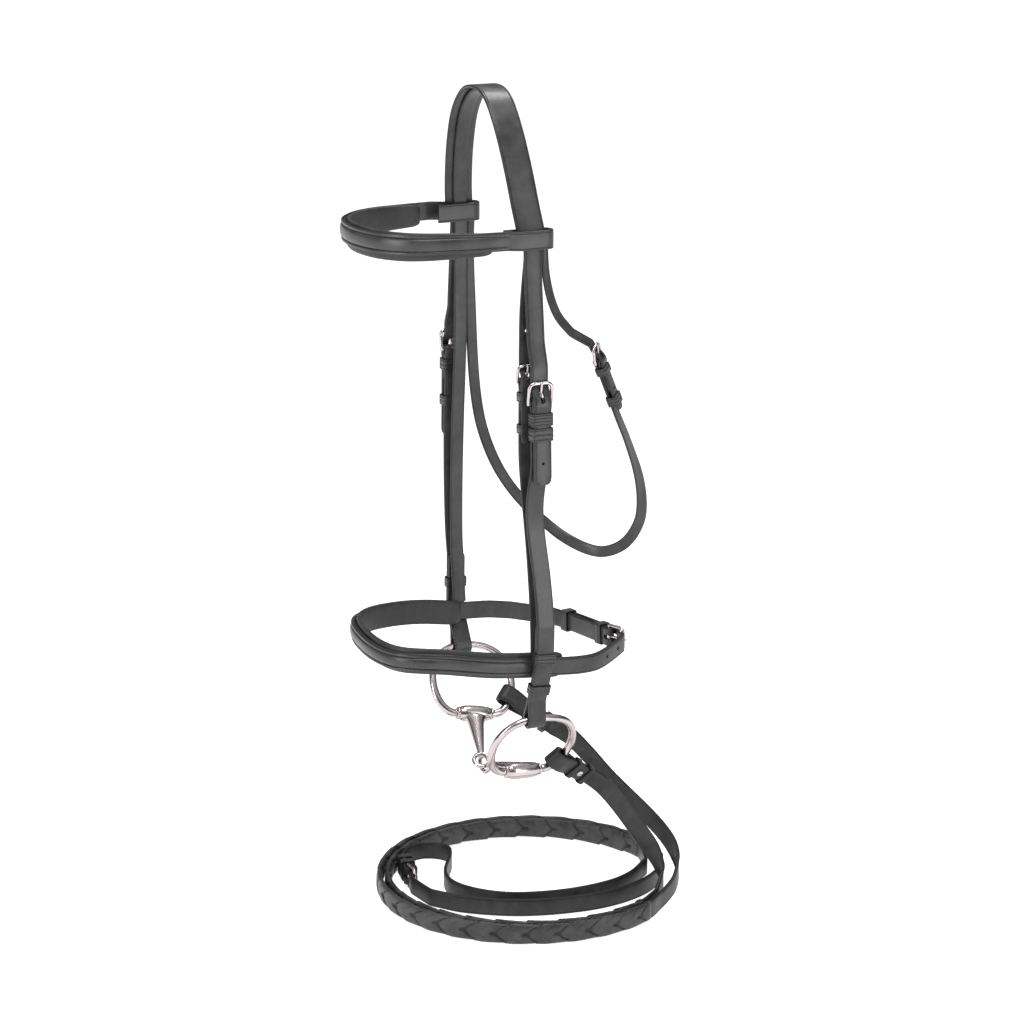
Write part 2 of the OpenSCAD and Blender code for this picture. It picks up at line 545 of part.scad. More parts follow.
module near_cheek_fixed_keeper() color(leather) in_place(near_cheek_at) buckle_keeper(cheek_buckle,
    -18.2, 10.6);
module far_cheek_fixed_keeper() color(leather) in_place(far_cheek_at) buckle_keeper(cheek_buckle,
    -18.2, 10);
module headstrap_fixed_keeper() color(leather) in_place(headstrap_at) buckle_keeper(head_buckle, -17, 8);
module throatlash_fixed_keeper() color(leather) in_place(throat_at) buckle_keeper(throat_buckle, -13, 7);
module chin_fixed_keeper() color(leather) in_place(chin_at) buckle_keeper(cheek_buckle, -17, 8.5);
module rein_fixed_keeper() color(leather) in_place(rein_at) buckle_keeper(rein_buckle_size, -17, 7);

module near_cheek_running_keeper() color(leather) in_place(near_cheek_at) buckle_keeper(cheek_buckle,
    -31, 11);
module far_cheek_running_keeper() color(leather) in_place(far_cheek_at) buckle_keeper(cheek_buckle,
    -50, 9);
module headstrap_running_keeper() color(leather) in_place(headstrap_at) buckle_keeper(head_buckle, -44,
    8);
module throatlash_running_keeper() color(leather) in_place(throat_at) buckle_keeper(throat_buckle, -43,
    9);
module chin_running_keeper() color(leather) in_place(chin_at) buckle_keeper(cheek_buckle, -69, 9);
module rein_running_keeper() color(leather) in_place(rein_at) buckle_keeper(rein_buckle_size, -29, 7);

module near_bit_loop_keepers() color(leather)
    for (i = lap_keepers_at) in_place(lap_frame(near_lap, i, AFT)) lap_keeper(cheek_w, cheek_t, -4.5, 9);
module far_bit_loop_keepers() color(leather)
    for (i = lap_keepers_at) in_place(lap_frame(far_lap, i, FRONT)) lap_keeper(cheek_w, cheek_t, -4.5, 9);
module near_rein_loop_keepers() color(leather)
    for (z = rein_keepers_at) in_place(near_rein_at) lap_keeper(cheek_w, rein_t, z, 6);
module far_rein_loop_keepers() color(leather)
    for (z = rein_keepers_at) in_place(far_rein_at) lap_keeper(cheek_w, rein_t, z, 6);

module near_cheek_stud() color(steel) in_place(lap_frame(near_lap, stud_at, AFT)) stud_solid(cheek_t);
module far_cheek_stud() color(steel) in_place(lap_frame(far_lap, stud_at, FRONT)) stud_solid(cheek_t);
module near_rein_stud() color(steel) in_place(near_rein_at) translate([0, 0,
    rein_stud_at]) stud_solid(rein_t);
module far_rein_stud() color(steel) in_place(far_rein_at) rotate([0, 0, 180]) translate([0, 0,
    rein_stud_at])
    stud_solid(rein_t);

headpiece();
noseband_headstrap();
throatlash_billet();
throatlash_strap();
browband_strap();
browband_padding();
browband_raised_front();
near_cheekpiece();
far_cheekpiece();
near_cheek_buckle();
near_cheek_tongue();
near_cheek_fixed_keeper();
near_cheek_running_keeper();
far_cheek_buckle();
far_cheek_tongue();
far_cheek_fixed_keeper();
far_cheek_running_keeper();
near_bit_loop_keepers();
far_bit_loop_keepers();
near_cheek_stud();
far_cheek_stud();
noseband_cheek_strap();
headstrap_buckle();
headstrap_tongue();
headstrap_fixed_keeper();
headstrap_running_keeper();
noseband_strap();
noseband_padding();
noseband_raised_front();
chin_buckle();
chin_tongue();
chin_fixed_keeper();
chin_running_keeper();
throatlash_buckle();
throatlash_tongue();
throatlash_fixed_keeper();
throatlash_running_keeper();
near_ring();
far_ring();
near_cannon();
far_cannon();
near_rein_loop();
far_rein_loop();
near_rein_loop_keepers();
far_rein_loop_keepers();
near_rein_stud();
far_rein_stud();
near_rein();
far_rein();
near_rein_lacing();
far_rein_lacing();
rein_buckle();
rein_tongue();
rein_fixed_keeper();
rein_running_keeper();
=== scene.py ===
import bpy
import math
import numpy as np
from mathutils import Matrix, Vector


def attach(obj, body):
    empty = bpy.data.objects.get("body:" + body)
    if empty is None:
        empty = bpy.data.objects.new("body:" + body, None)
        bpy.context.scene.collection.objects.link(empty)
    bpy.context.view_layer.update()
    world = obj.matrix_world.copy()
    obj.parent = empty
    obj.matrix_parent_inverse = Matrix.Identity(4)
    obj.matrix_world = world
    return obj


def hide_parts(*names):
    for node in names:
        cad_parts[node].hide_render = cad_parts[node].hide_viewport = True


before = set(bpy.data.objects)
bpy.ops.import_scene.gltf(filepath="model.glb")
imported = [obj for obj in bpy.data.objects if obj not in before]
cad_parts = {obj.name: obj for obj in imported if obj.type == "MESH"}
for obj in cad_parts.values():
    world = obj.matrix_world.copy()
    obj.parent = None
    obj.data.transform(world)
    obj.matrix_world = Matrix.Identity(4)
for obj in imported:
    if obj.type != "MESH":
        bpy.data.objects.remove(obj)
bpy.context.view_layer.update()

# Lengths in this script are millimetres until a mesh is made, unless a name ends in _m or _M.
MM = 0.001
UP, AFT, FRONT = np.array([0.0, 0, 1]), np.array([0.0, 1, 0]), np.array([0.0, -1, 0])

# ---------------------------------------------------------------- camera
VIEW_AZIMUTH, VIEW_ABOVE, VIEW_DISTANCE_M = math.radians(66), math.radians(15), 2.7
TO_CAMERA = Vector((math.sin(VIEW_AZIMUTH) * math.cos(VIEW_ABOVE),
                    -math.cos(VIEW_AZIMUTH) * math.cos(VIEW_ABOVE), math.sin(VIEW_ABOVE)))
AIM_M = Vector((0.0, 0.024, -0.363))
camera_data = bpy.data.cameras.new("camera")
camera_data.lens, camera_data.sensor_width = 110.7, 36
camera = bpy.data.objects.new("camera", camera_data)
camera.location = AIM_M + TO_CAMERA * VIEW_DISTANCE_M
camera.rotation_euler = (-TO_CAMERA).to_track_quat("-Z", "Y").to_euler()
bpy.context.scene.collection.objects.link(camera)
bpy.context.scene.camera = camera


# ---------------------------------------------------------------- curves
def unit(v):
    v = np.asarray(v, float)
    return v / np.maximum(np.linalg.norm(v, axis=-1, keepdims=True), 1e-9)


def smooth(p, k):
    """The points of a Catmull-Rom curve through p, with k steps between two points."""
    p = np.asarray(p, float)
    out = []
    for i in range(len(p) - 1):
        a, b, c, d = p[max(i - 1, 0)], p[i], p[i + 1], p[min(i + 2, len(p) - 1)]
        for j in range(k):
            u = j / k
            out.append(0.5 * (2 * b + (c - a) * u + (2 * a - 5 * b + 4 * c - d) * u * u
                              + (3 * b - a - 3 * c + d) * u ** 3))
    return np.array(out + [p[-1]])


def joined(*paths):
    return np.concatenate([np.atleast_2d(np.asarray(p, float)) for p in paths])


def mirrored(side):
    """A half path and its mirror image in X; its last point is in the middle."""
    side = np.asarray(side, float)
    return joined(side, side[-2::-1] * [-1, 1, 1])


def soften(values, sigma):
    """Gaussian smoothing along the first axis, with both ends held."""
    if sigma < 0.3:
        return values
    k = min(int(3 * sigma) + 1, len(values) - 1)
    weights = np.exp(-0.5 * (np.arange(-k, k + 1) / sigma) ** 2)
    weights /= weights.sum()
    padded = np.concatenate([2 * values[0] - values[k:0:-1], values, 2 * values[-1] - values[-2:-k - 2:-1]])
    return np.stack([np.convolve(padded[:, c], weights, "valid") for c in range(values.shape[1])], 1)


def smoothstep(x, a, b):
    u = np.clip((np.asarray(x, float) - a) / (b - a), 0, 1)
    return u * u * (3 - 2 * u)


def distances(p):
    """How far along the path each of its points is."""
    return np.concatenate([[0], np.cumsum(np.linalg.norm(np.diff(p, axis=0), axis=1))])


def resample(arc, known, values):
    """The rows of values, which belong to the distances known, at other distances."""
    return np.stack([np.interp(arc, known, values[:, c]) for c in range(3)], 1)


def at_height(z, *points):
    return [[x, y, z] for x, y in points]


def arc_points(y, z, r, angles):
    """Points on a circle round (y, z), at angles in degrees."""
    return [(y + r * math.cos(math.radians(a)), z + r * math.sin(math.radians(a))) for a in angles]


def circle(sides):
    """Cosines and sines of evenly spaced angles."""
    a = np.arange(sides) * 2 * math.pi / sides
    return np.cos(a), np.sin(a)


class Run:
    """A strap's or wire's line: evenly spaced points, each with tangent t, face n and width s."""

    def __init__(self, points, across, step=1.3, soft=1.0):
        p = np.asarray(points, float)
        a = np.asarray(across, float)
        a = np.tile(a, (len(p), 1)) if a.ndim == 1 else a
        apart = np.concatenate([[True], np.linalg.norm(np.diff(p, axis=0), axis=1) > 0.02])
        p, a = p[apart], a[apart]
        h = np.diff(distances(p))[:, None]
        slope = np.diff(p, axis=0) / h
        inner = (slope[:-1] * h[:-1] ** 3 + slope[1:] * h[1:] ** 3) / (h[1:] ** 3 + h[:-1] ** 3)
        tangent = np.concatenate([slope[:1], inner, slope[-1:]])
        fine = []
        for i in range(len(p) - 1):
            count = max(4, int(h[i, 0] / 0.6))
            u = (np.arange(count) / count)[:, None]
            fine.append((2 * u ** 3 - 3 * u ** 2 + 1) * p[i] + (u ** 3 - 2 * u ** 2 + u) * h[i] * tangent[i]
                        + (3 * u ** 2 - 2 * u ** 3) * p[i + 1] + (u ** 3 - u ** 2) * h[i] * tangent[i + 1])
        fine = np.concatenate(fine + [p[-1:]])
        along = distances(fine)
        rings = max(3, int(along[-1] / step) + 1)
        arc = np.linspace(0, along[-1], rings)
        at = resample(arc, along, fine)
        wide = resample(arc, self._source(fine, p, along), a)
        spacing = along[-1] / (rings - 1)
        self._set(soften(at, soft / spacing), soften(wide, 2.0 / spacing))

    @staticmethod
    def _source(fine, p, along):
        """Where the given points lie along the fine line."""
        out, start = [], 0
        for q in p:
            near = start + int(np.argmin(np.linalg.norm(fine[start:start + 4000] - q, axis=1)[:400]))
            out.append(along[near])
            start = near
        return np.maximum.accumulate(np.array(out) + np.arange(len(out)) * 1e-7)

    def _set(self, p, across):
        self.p, self.across = p, across
        self.arc = distances(p)
        self.length = float(self.arc[-1])
        self.t = unit(np.gradient(p, axis=0))
        self.n = unit(np.cross(across, self.t))
        self.s = np.cross(self.t, self.n)
        self.from_ends = np.minimum(self.arc, self.length - self.arc)

    def moved(self, out):
        """The same line, moved along its face direction."""
        other = Run.__new__(Run)
        other._set(self.p + self.n * out, self.across)
        return other

    def rings(self, x, y):
        """A ring of points round each of the line's: x along its face direction, y along its width."""
        return self.p[:, None] + self.s[:, None] * y[..., None] + self.n[:, None] * x[..., None]

    def each(self, value):
        """A number, or one value for each point, as a column."""
        return np.broadcast_to(np.asarray(value, float), (len(self.p),))[:, None]

    def where(self, point):
        return float(self.arc[int(np.argmin(np.linalg.norm(self.p - np.asarray(point, float), axis=1)))])

    def at(self, arc):
        """Points and frames at distances along the line."""
        p, *axes = (resample(arc, self.arc, values) for values in (self.p, self.t, self.n, self.s))
        return p, *(unit(axis) for axis in axes)


# ---------------------------------------------------------------- local frames
def make_frame(o, up, across):
    t = unit(up)
    n = unit(np.cross(across, t))
    return np.array([o, n, np.cross(t, n), t], float)


def in_frame(f, v):
    v = np.asarray(v, float)
    return f[0] + v[..., 0:1] * f[1] + v[..., 1:2] * f[2] + v[..., 2:3] * f[3]


def path_in(f, p):
    p = np.asarray(p, float)
    return f[0] + p[:, :1] * f[1] + p[:, 1:] * f[3]


# ---------------------------------------------------------------- meshes
SHARP_ANGLE = 42  # degrees; an edge that bends more is drawn sharp


class Solid:
    """Vertices and faces of one piece, gathered in millimetres."""

    def __init__(self):
        self.points, self.faces, self.edge, self.count = [], [], [], 0

    def grid(self, rings, closed=False, edge=None):
        """rings is an array of rings of points; each ring is closed, and the rings follow each other."""
        rings = np.asarray(rings, float)
        n, m = rings.shape[:2]
        number = np.arange(n * m).reshape(n, m) + self.count
        beside = np.roll(number, -1, axis=1)
        quads = np.stack([number, beside, np.roll(beside, -1, 0), np.roll(number, -1, 0)], -1)
        quads = (quads if closed else quads[:-1]).reshape(-1, 4)
        centre = rings.mean(axis=(0, 1))
        flat = rings.reshape(-1, 3) - centre
        q = flat[quads - self.count]
        signed = (np.einsum("ij,ij->i", q[:, 0], np.cross(q[:, 1], q[:, 2]))
                  + np.einsum("ij,ij->i", q[:, 0], np.cross(q[:, 2], q[:, 3]))).sum()
        ends = []
        if not closed:
            ends = [number[0][::-1].tolist(), number[-1].tolist()]
            for ring in (flat[:m][::-1], flat[-m:]):
                signed += (np.cross(ring[1:-1], ring[2:]) @ ring[0]).sum()
        if signed < 0:
            quads = quads[:, ::-1]
            ends = [e[::-1] for e in ends]
        self.points.append(rings.reshape(-1, 3))
        self.faces += quads.tolist() + ends
        edge = np.zeros((n, m)) if edge is None else np.broadcast_to(edge, (n, m))
        self.edge.append(np.array(edge, float).reshape(-1))
        self.count += n * m
        return self

    def copies(self, base, faces, places):
        """Many copies of one small closed shape; places is (points, t, n, s) of each."""
        base = np.asarray(base, float)
        p, t, n, s = places
        all_points = (p[:, None] + base[None, :, :1] * t[:, None] + base[None, :, 1:2] * s[:, None]
                      + base[None, :, 2:3] * n[:, None])
        for i in range(len(p)):
            start = self.count + i * len(base)
            self.faces += [[start + k for k in f] for f in faces]
        self.points.append(all_points.reshape(-1, 3))
        self.edge.append(np.zeros(len(p) * len(base)))
        self.count += len(p) * len(base)
        return self

    def mesh(self, name, sharp=SHARP_ANGLE):
        name += "_skin"
        data = bpy.data.meshes.new(name)
        data.from_pydata((np.concatenate(self.points) * MM).tolist(), [], self.faces)
        data.update()
        # The edge attribute darkens the colour: dye on the leather's edges, and painted shade in grooves,
        # creases and slots.
        edge_dye_and_painted_shade = data.attributes.new("edge", "FLOAT", "POINT")
        edge_dye_and_painted_shade.data.foreach_set("value", np.concatenate(self.edge).astype(np.float32))
        finish_shading(data, sharp)
        thing = bpy.data.objects.new(name, data)
        bpy.context.scene.collection.objects.link(thing)
        return thing


def finish_shading(data, sharp):
    data.shade_smooth()
    data.set_sharp_from_angle(angle=math.radians(sharp))


def cut(thing, cutter_solid):
    """Cuts real openings through a piece."""
    cutter = cutter_solid.mesh(thing.name + "_cutter")
    change = thing.modifiers.new("cut", "BOOLEAN")
    change.operation, change.solver, change.object = "DIFFERENCE", "EXACT", cutter
    bpy.context.view_layer.update()
    graph = bpy.context.evaluated_depsgraph_get()
    new = bpy.data.meshes.new_from_object(thing.evaluated_get(graph))
    thing.modifiers.clear()
    thing.data = new
    new.name = thing.name
    bpy.data.objects.remove(cutter)
    finish_shading(new, SHARP_ANGLE)


def place(thing, material, body, slot, *nodes):
    thing.data.materials.clear()
    thing.data.materials.append(material)
    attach(thing, body)
    if nodes:
        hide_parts(*nodes)
    return thing


def piece(name, solid, material, body="strapwork", slot="bridle_leather", cutters=(), sharp=SHARP_ANGLE):
    """A finished piece that stands for the CAD node of its name, with openings cut one after another."""
    thing = solid.mesh(name, sharp)
    for cutter in cutters:
        cut(thing, cutter)
    return place(thing, material, body, slot, name)


# A strap's section: (side, inset from the edge, height as a share of half the thickness, darkening).
# The outer face has a crease near each edge; the edges are rounded. The darkening is dye on the edges, and
# painted shade in the crease.
OUTER = [(0.0, 0.00, 1), (0.08, 0.38, 1), (0.26, 0.70, 1), (0.6, 0.93, 0.7), (1.0, 1.0, 0.2),
         (1.45, 1.0, 0.3), (1.75, 0.80, 1), (2.05, 0.98, 0.3), (2.6, 1.03, 0)]
INNER = [(0.08, -0.38, 1), (0.3, -0.74, 1), (0.8, -0.97, 0.3), (1.8, -1.0, 0)]


def tipped(run, w, start=0.0, end=0.0, left=0.55):
    """The width along run, drawn in to a rounded tip over start and end millimetres."""
    w = run.each(w)[:, 0].copy()
    for length, away in ((start, run.arc), (end, run.length - run.arc)):
        if length:
            u = np.clip(away / length, 0, 1)
            w *= left + (1 - left) * np.sqrt(1 - (1 - u) ** 2)
    return w


def strap(run, w, t):
    """A strap along run; w and t are numbers or one value for each ring."""
    rows = ([(1, *row) for row in OUTER] + [(0, 0, 1.05, 0)] + [(-1, *row) for row in reversed(OUTER)]
            + [(-1, *row) for row in INNER] + [(0, 0, -1, 0)] + [(1, *row) for row in reversed(INNER)])
    side, inset, height, edge_dye_and_painted_shade = np.array(rows, float).T[:, None]
    y = side * np.maximum(run.each(w) / 2 - inset, 0.05)
    return Solid().grid(run.rings(height * run.each(t) / 2, y), edge=edge_dye_and_painted_shade)


def wire(solid, run, r_out, r_wide, sides):
    """A round or oval wire along run; radii are numbers or one value for each ring."""
    c, s = circle(sides)
    return solid.grid(run.rings(s[None] * run.each(r_out), c[None] * run.each(r_wide)))


def lathe(solid, f, profile, sides, closed=False):
    """A turned shape: profile is [(radius, distance along the frame's last axis)]."""
    profile = np.asarray(profile, float)
    c, s = circle(sides)
    ring = c[:, None] * f[1] + s[:, None] * f[2]
    rings = f[0] + profile[:, 1, None, None] * f[3] + profile[:, 0, None, None] * ring[None]
    return solid.grid(rings, closed=closed)


def peg(solid, o, axis, r, before, after):
    """A plain round cutter through o."""
    axis = unit(axis)
    other = unit(np.cross(axis, AFT if abs(axis[1]) < 0.8 else UP))
    f = np.array([o, other, np.cross(axis, other), axis])
    return lathe(solid, f, [(r, -before), (r, after)], 20)


def slot_cutter(solid, f, x0, x1, half, z0, z1):
    """A cutter with round ends, from x0 to x1 through a strap in frame f."""
    ring = []
    for centre, start in ((z1 - half, 0), (z0 + half, math.pi)):
        ring += [(half * math.cos(start + a), centre + half * math.sin(start + a))
                 for a in np.linspace(0, math.pi, 9)]
    ring = np.array(ring)
    rings = [in_frame(f, np.stack([np.full(len(ring), x), ring[:, 0], ring[:, 1]], 1)) for x in (x0, x1)]
    return solid.grid(rings)


def stitch_shape(length, width, height):
    """A short round thread that dips at both ends: [along, width, out]."""
    points, faces, sides = [], [], 6
    rings = [(-0.5, 0.45, -0.9), (-0.3, 0.95, -0.1), (0, 1, 0.15), (0.3, 0.95, -0.1), (0.5, 0.45, -0.9)]
    for k, (z, r, dip) in enumerate(rings):
        for j in range(sides):
            a = 2 * math.pi * j / sides
            points.append((z * length, r * width / 2 * math.cos(a), height / 2 * (r * math.sin(a) + dip)))
            if k:
                this, following, below = j + k * sides, (j + 1) % sides + k * sides, sides
                faces.append([this - below, following - below, following, this])
    faces.append(list(range(sides))[::-1])
    faces.append([4 * sides + j for j in range(sides)])
    return points, faces


STITCH_POINTS, STITCH_FACES = stitch_shape(2.4, 1.15, 0.75)


def stitch_row(solid, run, start, end, width, out, pitch=3.3):
    """A row of stitches along run; width and out are offsets, as numbers or functions of the distance."""
    arc = np.arange(start, end, pitch)
    if not len(arc):
        return solid
    p, t, n, s = run.at(arc)
    width = np.array([width(a) for a in arc]) if callable(width) else np.full(len(arc), float(width))
    out = np.array([out(a) for a in arc]) if callable(out) else np.full(len(arc), float(out))
    return solid.copies(STITCH_POINTS, STITCH_FACES, (p + s * width[:, None] + n * out[:, None], t, n, s))


# ---------------------------------------------------------------- materials
def shader(name, roughness, metallic=0.0, base=(0.5, 0.5, 0.5), coat=0.0, coat_roughness=0.2):
    m = bpy.data.materials.new(name)
    m.use_nodes = True
    tree = m.node_tree
    tree.nodes.clear()
    out = tree.nodes.new("ShaderNodeOutputMaterial")
    body = tree.nodes.new("ShaderNodeBsdfPrincipled")
    tree.links.new(body.outputs[0], out.inputs[0])
    body.inputs["Base Color"].default_value = (*base, 1)
    body.inputs["Roughness"].default_value = roughness
    body.inputs["Metallic"].default_value = metallic
    body.inputs["Coat Weight"].default_value = coat
    body.inputs["Coat Roughness"].default_value = coat_roughness
    return m, tree, body


def texture(tree, kind, scale, coords, **settings):
    node = tree.nodes.new(kind)
    node.inputs["Scale"].default_value = scale
    for key, value in settings.items():
        if key in node.inputs:
            node.inputs[key].default_value = value
        else:
            setattr(node, key, value)
    tree.links.new(coords, node.inputs["Vector"])
    return node


def map_range(tree, source, low, high, from_low=0.0, from_high=1.0):
    node = tree.nodes.new("ShaderNodeMapRange")
    for i, value in enumerate((from_low, from_high, low, high), 1):
        node.inputs[i].default_value = value
    tree.links.new(source, node.inputs[0])
    return node.outputs[0]


def mix_colour(tree, share, a, b):
    node = tree.nodes.new("ShaderNodeMix")
    node.data_type = "RGBA"
    tree.links.new(share, node.inputs[0])
    for socket, value in ((node.inputs[6], a), (node.inputs[7], b)):
        if isinstance(value, tuple):
            socket.default_value = (*value, 1)
        else:
            tree.links.new(value, socket)
    return node.outputs[2]


def bump(tree, height, strength, distance_m, normal=None):
    node = tree.nodes.new("ShaderNodeBump")
    node.inputs["Strength"].default_value = strength
    node.inputs["Distance"].default_value = distance_m
    tree.links.new(height, node.inputs["Height"])
    if normal is not None:
        tree.links.new(normal, node.inputs["Normal"])
    return node.outputs[0]


def leather(name, light, dark, edge, rough, grain=0.35, coat=0.25, coat_roughness=0.3, wrinkle=0.2,
            shine=0.4):
    """Dyed leather: fine pores, soft mottling, dark dyed edges, and painted shade in creases and grooves.
    """
    m, tree, body = shader(name, rough, coat=coat, coat_roughness=coat_roughness)
    body.inputs["Specular IOR Level"].default_value = shine
    coords = tree.nodes.new("ShaderNodeTexCoord").outputs["Object"]
    mottle = texture(tree, "ShaderNodeTexNoise", 55, coords, Detail=5.0, Roughness=0.6)
    fine = texture(tree, "ShaderNodeTexNoise", 900, coords, Detail=3.0, Roughness=0.6)
    pores = texture(tree, "ShaderNodeTexVoronoi", 1150, coords, feature="F1")
    edge_dye_and_painted_shade = tree.nodes.new("ShaderNodeAttribute")
    edge_dye_and_painted_shade.attribute_name = "edge"
    tone = mix_colour(tree, map_range(tree, mottle.outputs[0], 0, 1, 0.36, 0.64), dark, light)
    tone = mix_colour(tree, map_range(tree, fine.outputs[0], 0, 0.35, 0.35, 0.7), tone, dark)
    # The edge attribute mixes in the edge colour: dye on the edges, and painted shade in creases, grooves
    # and slots.
    tone = mix_colour(tree, map_range(tree, edge_dye_and_painted_shade.outputs["Fac"], 0, 0.85), tone, edge)
    tree.links.new(tone, body.inputs["Base Color"])
    tree.links.new(map_range(tree, mottle.outputs[0], rough - 0.07, rough + 0.09, 0.3, 0.7),
                   body.inputs["Roughness"])
    normal = bump(tree, mottle.outputs[0], wrinkle, 0.0006)
    normal = bump(tree, pores.outputs["Distance"], grain, 0.00016, normal)
    tree.links.new(normal, body.inputs["Normal"])
    return m


def polished_steel(name, tint, rough):
    """Polished steel with faint scratches and a slightly warm, uneven bloom."""
    m, tree, body = shader(name, rough, metallic=1.0)
    body.inputs["Specular Tint"].default_value = (0.70, 0.60, 0.62, 1)
    coords = tree.nodes.new("ShaderNodeTexCoord").outputs["Object"]
    stretch = tree.nodes.new("ShaderNodeMapping")
    stretch.inputs["Scale"].default_value = (1, 0.08, 1)
    tree.links.new(coords, stretch.inputs[0])
    bloom = texture(tree, "ShaderNodeTexNoise", 45, coords, Detail=3.0)
    scratch = texture(tree, "ShaderNodeTexNoise", 1800, stretch.outputs[0], Detail=4.0)
    tone = mix_colour(tree, map_range(tree, bloom.outputs[0], 0, 1, 0.3, 0.7), tint,
                      tuple(c * f for c, f in zip(tint, (0.93, 0.86, 0.88))))
    tree.links.new(tone, body.inputs["Base Color"])
    tree.links.new(map_range(tree, bloom.outputs[0], rough - 0.03, rough + 0.07, 0.3, 0.7),
                   body.inputs["Roughness"])
    tree.links.new(bump(tree, scratch.outputs[0], 0.05, 0.00005), body.inputs["Normal"])
    return m


# The third colour of each leather is the edge colour: the edges' dye, and the painted shade in creases,
# grooves and slots.
BRIDLE = leather("bridle_leather", (0.042, 0.042, 0.043), (0.019, 0.019, 0.020), (0.005, 0.005, 0.006),
                 0.40, coat=0.22, coat_roughness=0.22, shine=0.3)
RAISED = leather("raised_leather", (0.036, 0.036, 0.037), (0.017, 0.017, 0.018), (0.008, 0.008, 0.009),
                 0.40, grain=0.3, coat=0.3)
REIN = leather("rein_leather", (0.036, 0.036, 0.037), (0.016, 0.016, 0.017), (0.004, 0.004, 0.004), 0.46,
               coat=0.08, coat_roughness=0.3, shine=0.25)
LACE = leather("lace_leather", (0.048, 0.048, 0.049), (0.016, 0.016, 0.017), (0.001, 0.001, 0.001), 0.46,
               grain=0.5, coat=0.06, coat_roughness=0.25, wrinkle=0.9, shine=0.35)
SOFT = leather("soft_leather", (0.030, 0.029, 0.031), (0.014, 0.014, 0.015), (0.006, 0.006, 0.006), 0.52,
               grain=0.6, coat=0.08, coat_roughness=0.4, wrinkle=0.7)
STEEL = polished_steel("polished_steel", (0.50, 0.465, 0.47), 0.17)
THREAD, thread_tree, thread_body = shader("waxed_thread", 0.6, base=(0.008, 0.008, 0.009))
thread_coords = thread_tree.nodes.new("ShaderNodeTexCoord").outputs["Object"]
thread_twist = texture(thread_tree, "ShaderNodeTexNoise", 2500, thread_coords, Detail=2.0)
thread_tree.links.new(bump(thread_tree, thread_twist.outputs[0], 0.5, 0.0002), thread_body.inputs["Normal"])

# ---------------------------------------------------------------- sizes, as in the CAD
CHEEK_W, CHEEK_T, LIGHT_T, THROAT_W, HEAD_W, CROWN_W, REIN_T = 16, 2.8, 2.2, 10, 12, 25, 3.0
RING_R, RING_DROP, RING_W, BARREL_R, PIN_R = 3.6, 64, 74, 7.2, 3.2
PAD_T, RAISED_T, FIT_GAP, KEEPER_WALL = 5.0, 2.4, 0.3, 1.2
SPLIT_W = 6.6  # the throatlash's width where it leaves the crown
# A buckle is its strap's width and thickness, its wire's radius and its length.
CHEEK_BUCKLE = (CHEEK_W, CHEEK_T, 1.5, 17)
HEAD_BUCKLE = (HEAD_W, LIGHT_T, 1.3, 13)
THROAT_BUCKLE = (THROAT_W, LIGHT_T, 1.3, 13)
REIN_BUCKLE = (CHEEK_W, REIN_T, 1.5, 16)

NEAR_CHEEK_AT = make_frame([88, 9, -247], [-2, 0, 70], AFT)
FAR_CHEEK_AT = make_frame([-88, 7, -236], [2, 0, 70], FRONT)
HEADSTRAP_AT = make_frame([76, 2, -230], [0, 0, 1], AFT)
THROAT_AT = make_frame([74, 68, -219], [3, -18, 42], [-32, 32, 16])
CHIN_AT = make_frame([36, 99, -474], [70, 12, 2], [-2, 0, 70])
REIN_AT = make_frame([-50, -56, -701], [1, -0.2, 0], UP)


def layer(b): return b[1] + FIT_GAP
def heel_x(b): return layer(b) / 2
def wrap_r(b): return b[2] + 0.15 + b[1] / 2
def toe_x(b): return 0.6 + b[1] / 2 + 0.25 + b[2]
def over_x(b): return heel_x(b) + wrap_r(b) + layer(b)
def tongue_r(b): return 0.75 * b[2]
def tongue_tip(b): return np.array([toe_x(b) + b[2] + 0.4 + tongue_r(b), b[3] + 1.5])


def fold_path(b, back, front):
    turn = arc_points(heel_x(b), 0, wrap_r(b), range(200, -21, -22))
    foot = 2.3 * wrap_r(b)
    return ([(0, -back), (0, -foot - 8), (0, -foot - 3), (0, -foot)] + turn
            + [(layer(b), -foot), (layer(b), -foot - 3), (layer(b), -foot - 8), (layer(b), -front)])


def billet_path(b, above, tail):
    n, x = b[3], over_x(b)
    return [(0.6, n + above), (0.6, n + 2), (1.2, n - 3), (x - 1.4, 0.36 * n), (x, 0), (x - 0.3, -0.2 * n),
            (2 * layer(b), -0.43 * n), (2 * layer(b), -0.43 * n - 3), (2 * layer(b), -0.43 * n - 8),
            (2 * layer(b), -0.5 * (tail + 0.43 * n) - 4), (2 * layer(b), -tail)]


SLOT_HALF, SLOT_OUT = 1.9, 14  # half the width of a tongue's slot, and how far out its cutter goes


def billet_way(solid, f, b):
    """The tongue's slot through a billet."""
    return slot_cutter(solid, f, 1.6 * heel_x(b), SLOT_OUT, SLOT_HALF, 0.6, 0.78 * b[3])


def fold_way(solid, f, b):
    """The tongue's slot through a strap's fold round the heel bar."""
    return slot_cutter(solid, f, -5, SLOT_OUT, SLOT_HALF, -b[2] - 2, 7.5)


# ---------------------------------------------------------------- bit rings' places
# A ring is its pivot in the cheek's loop, side, inward tilt, and turn in its own plane.
NEAR_RING = (np.array([86, 14.5, -521.0]), 1, 28.5, 5)
FAR_RING = (np.array([-83, 19.5, -505.0]), -1, 33, 9)


def ring_dir(ring, v):
    c, s = math.cos(math.radians(ring[3])), math.sin(math.radians(ring[3]))
    tilt = math.radians(ring[2])
    z = v[1] * c - v[0] * s
    return np.array([z * math.sin(tilt) * ring[1], v[0] * c + v[1] * s, z * math.cos(tilt)])


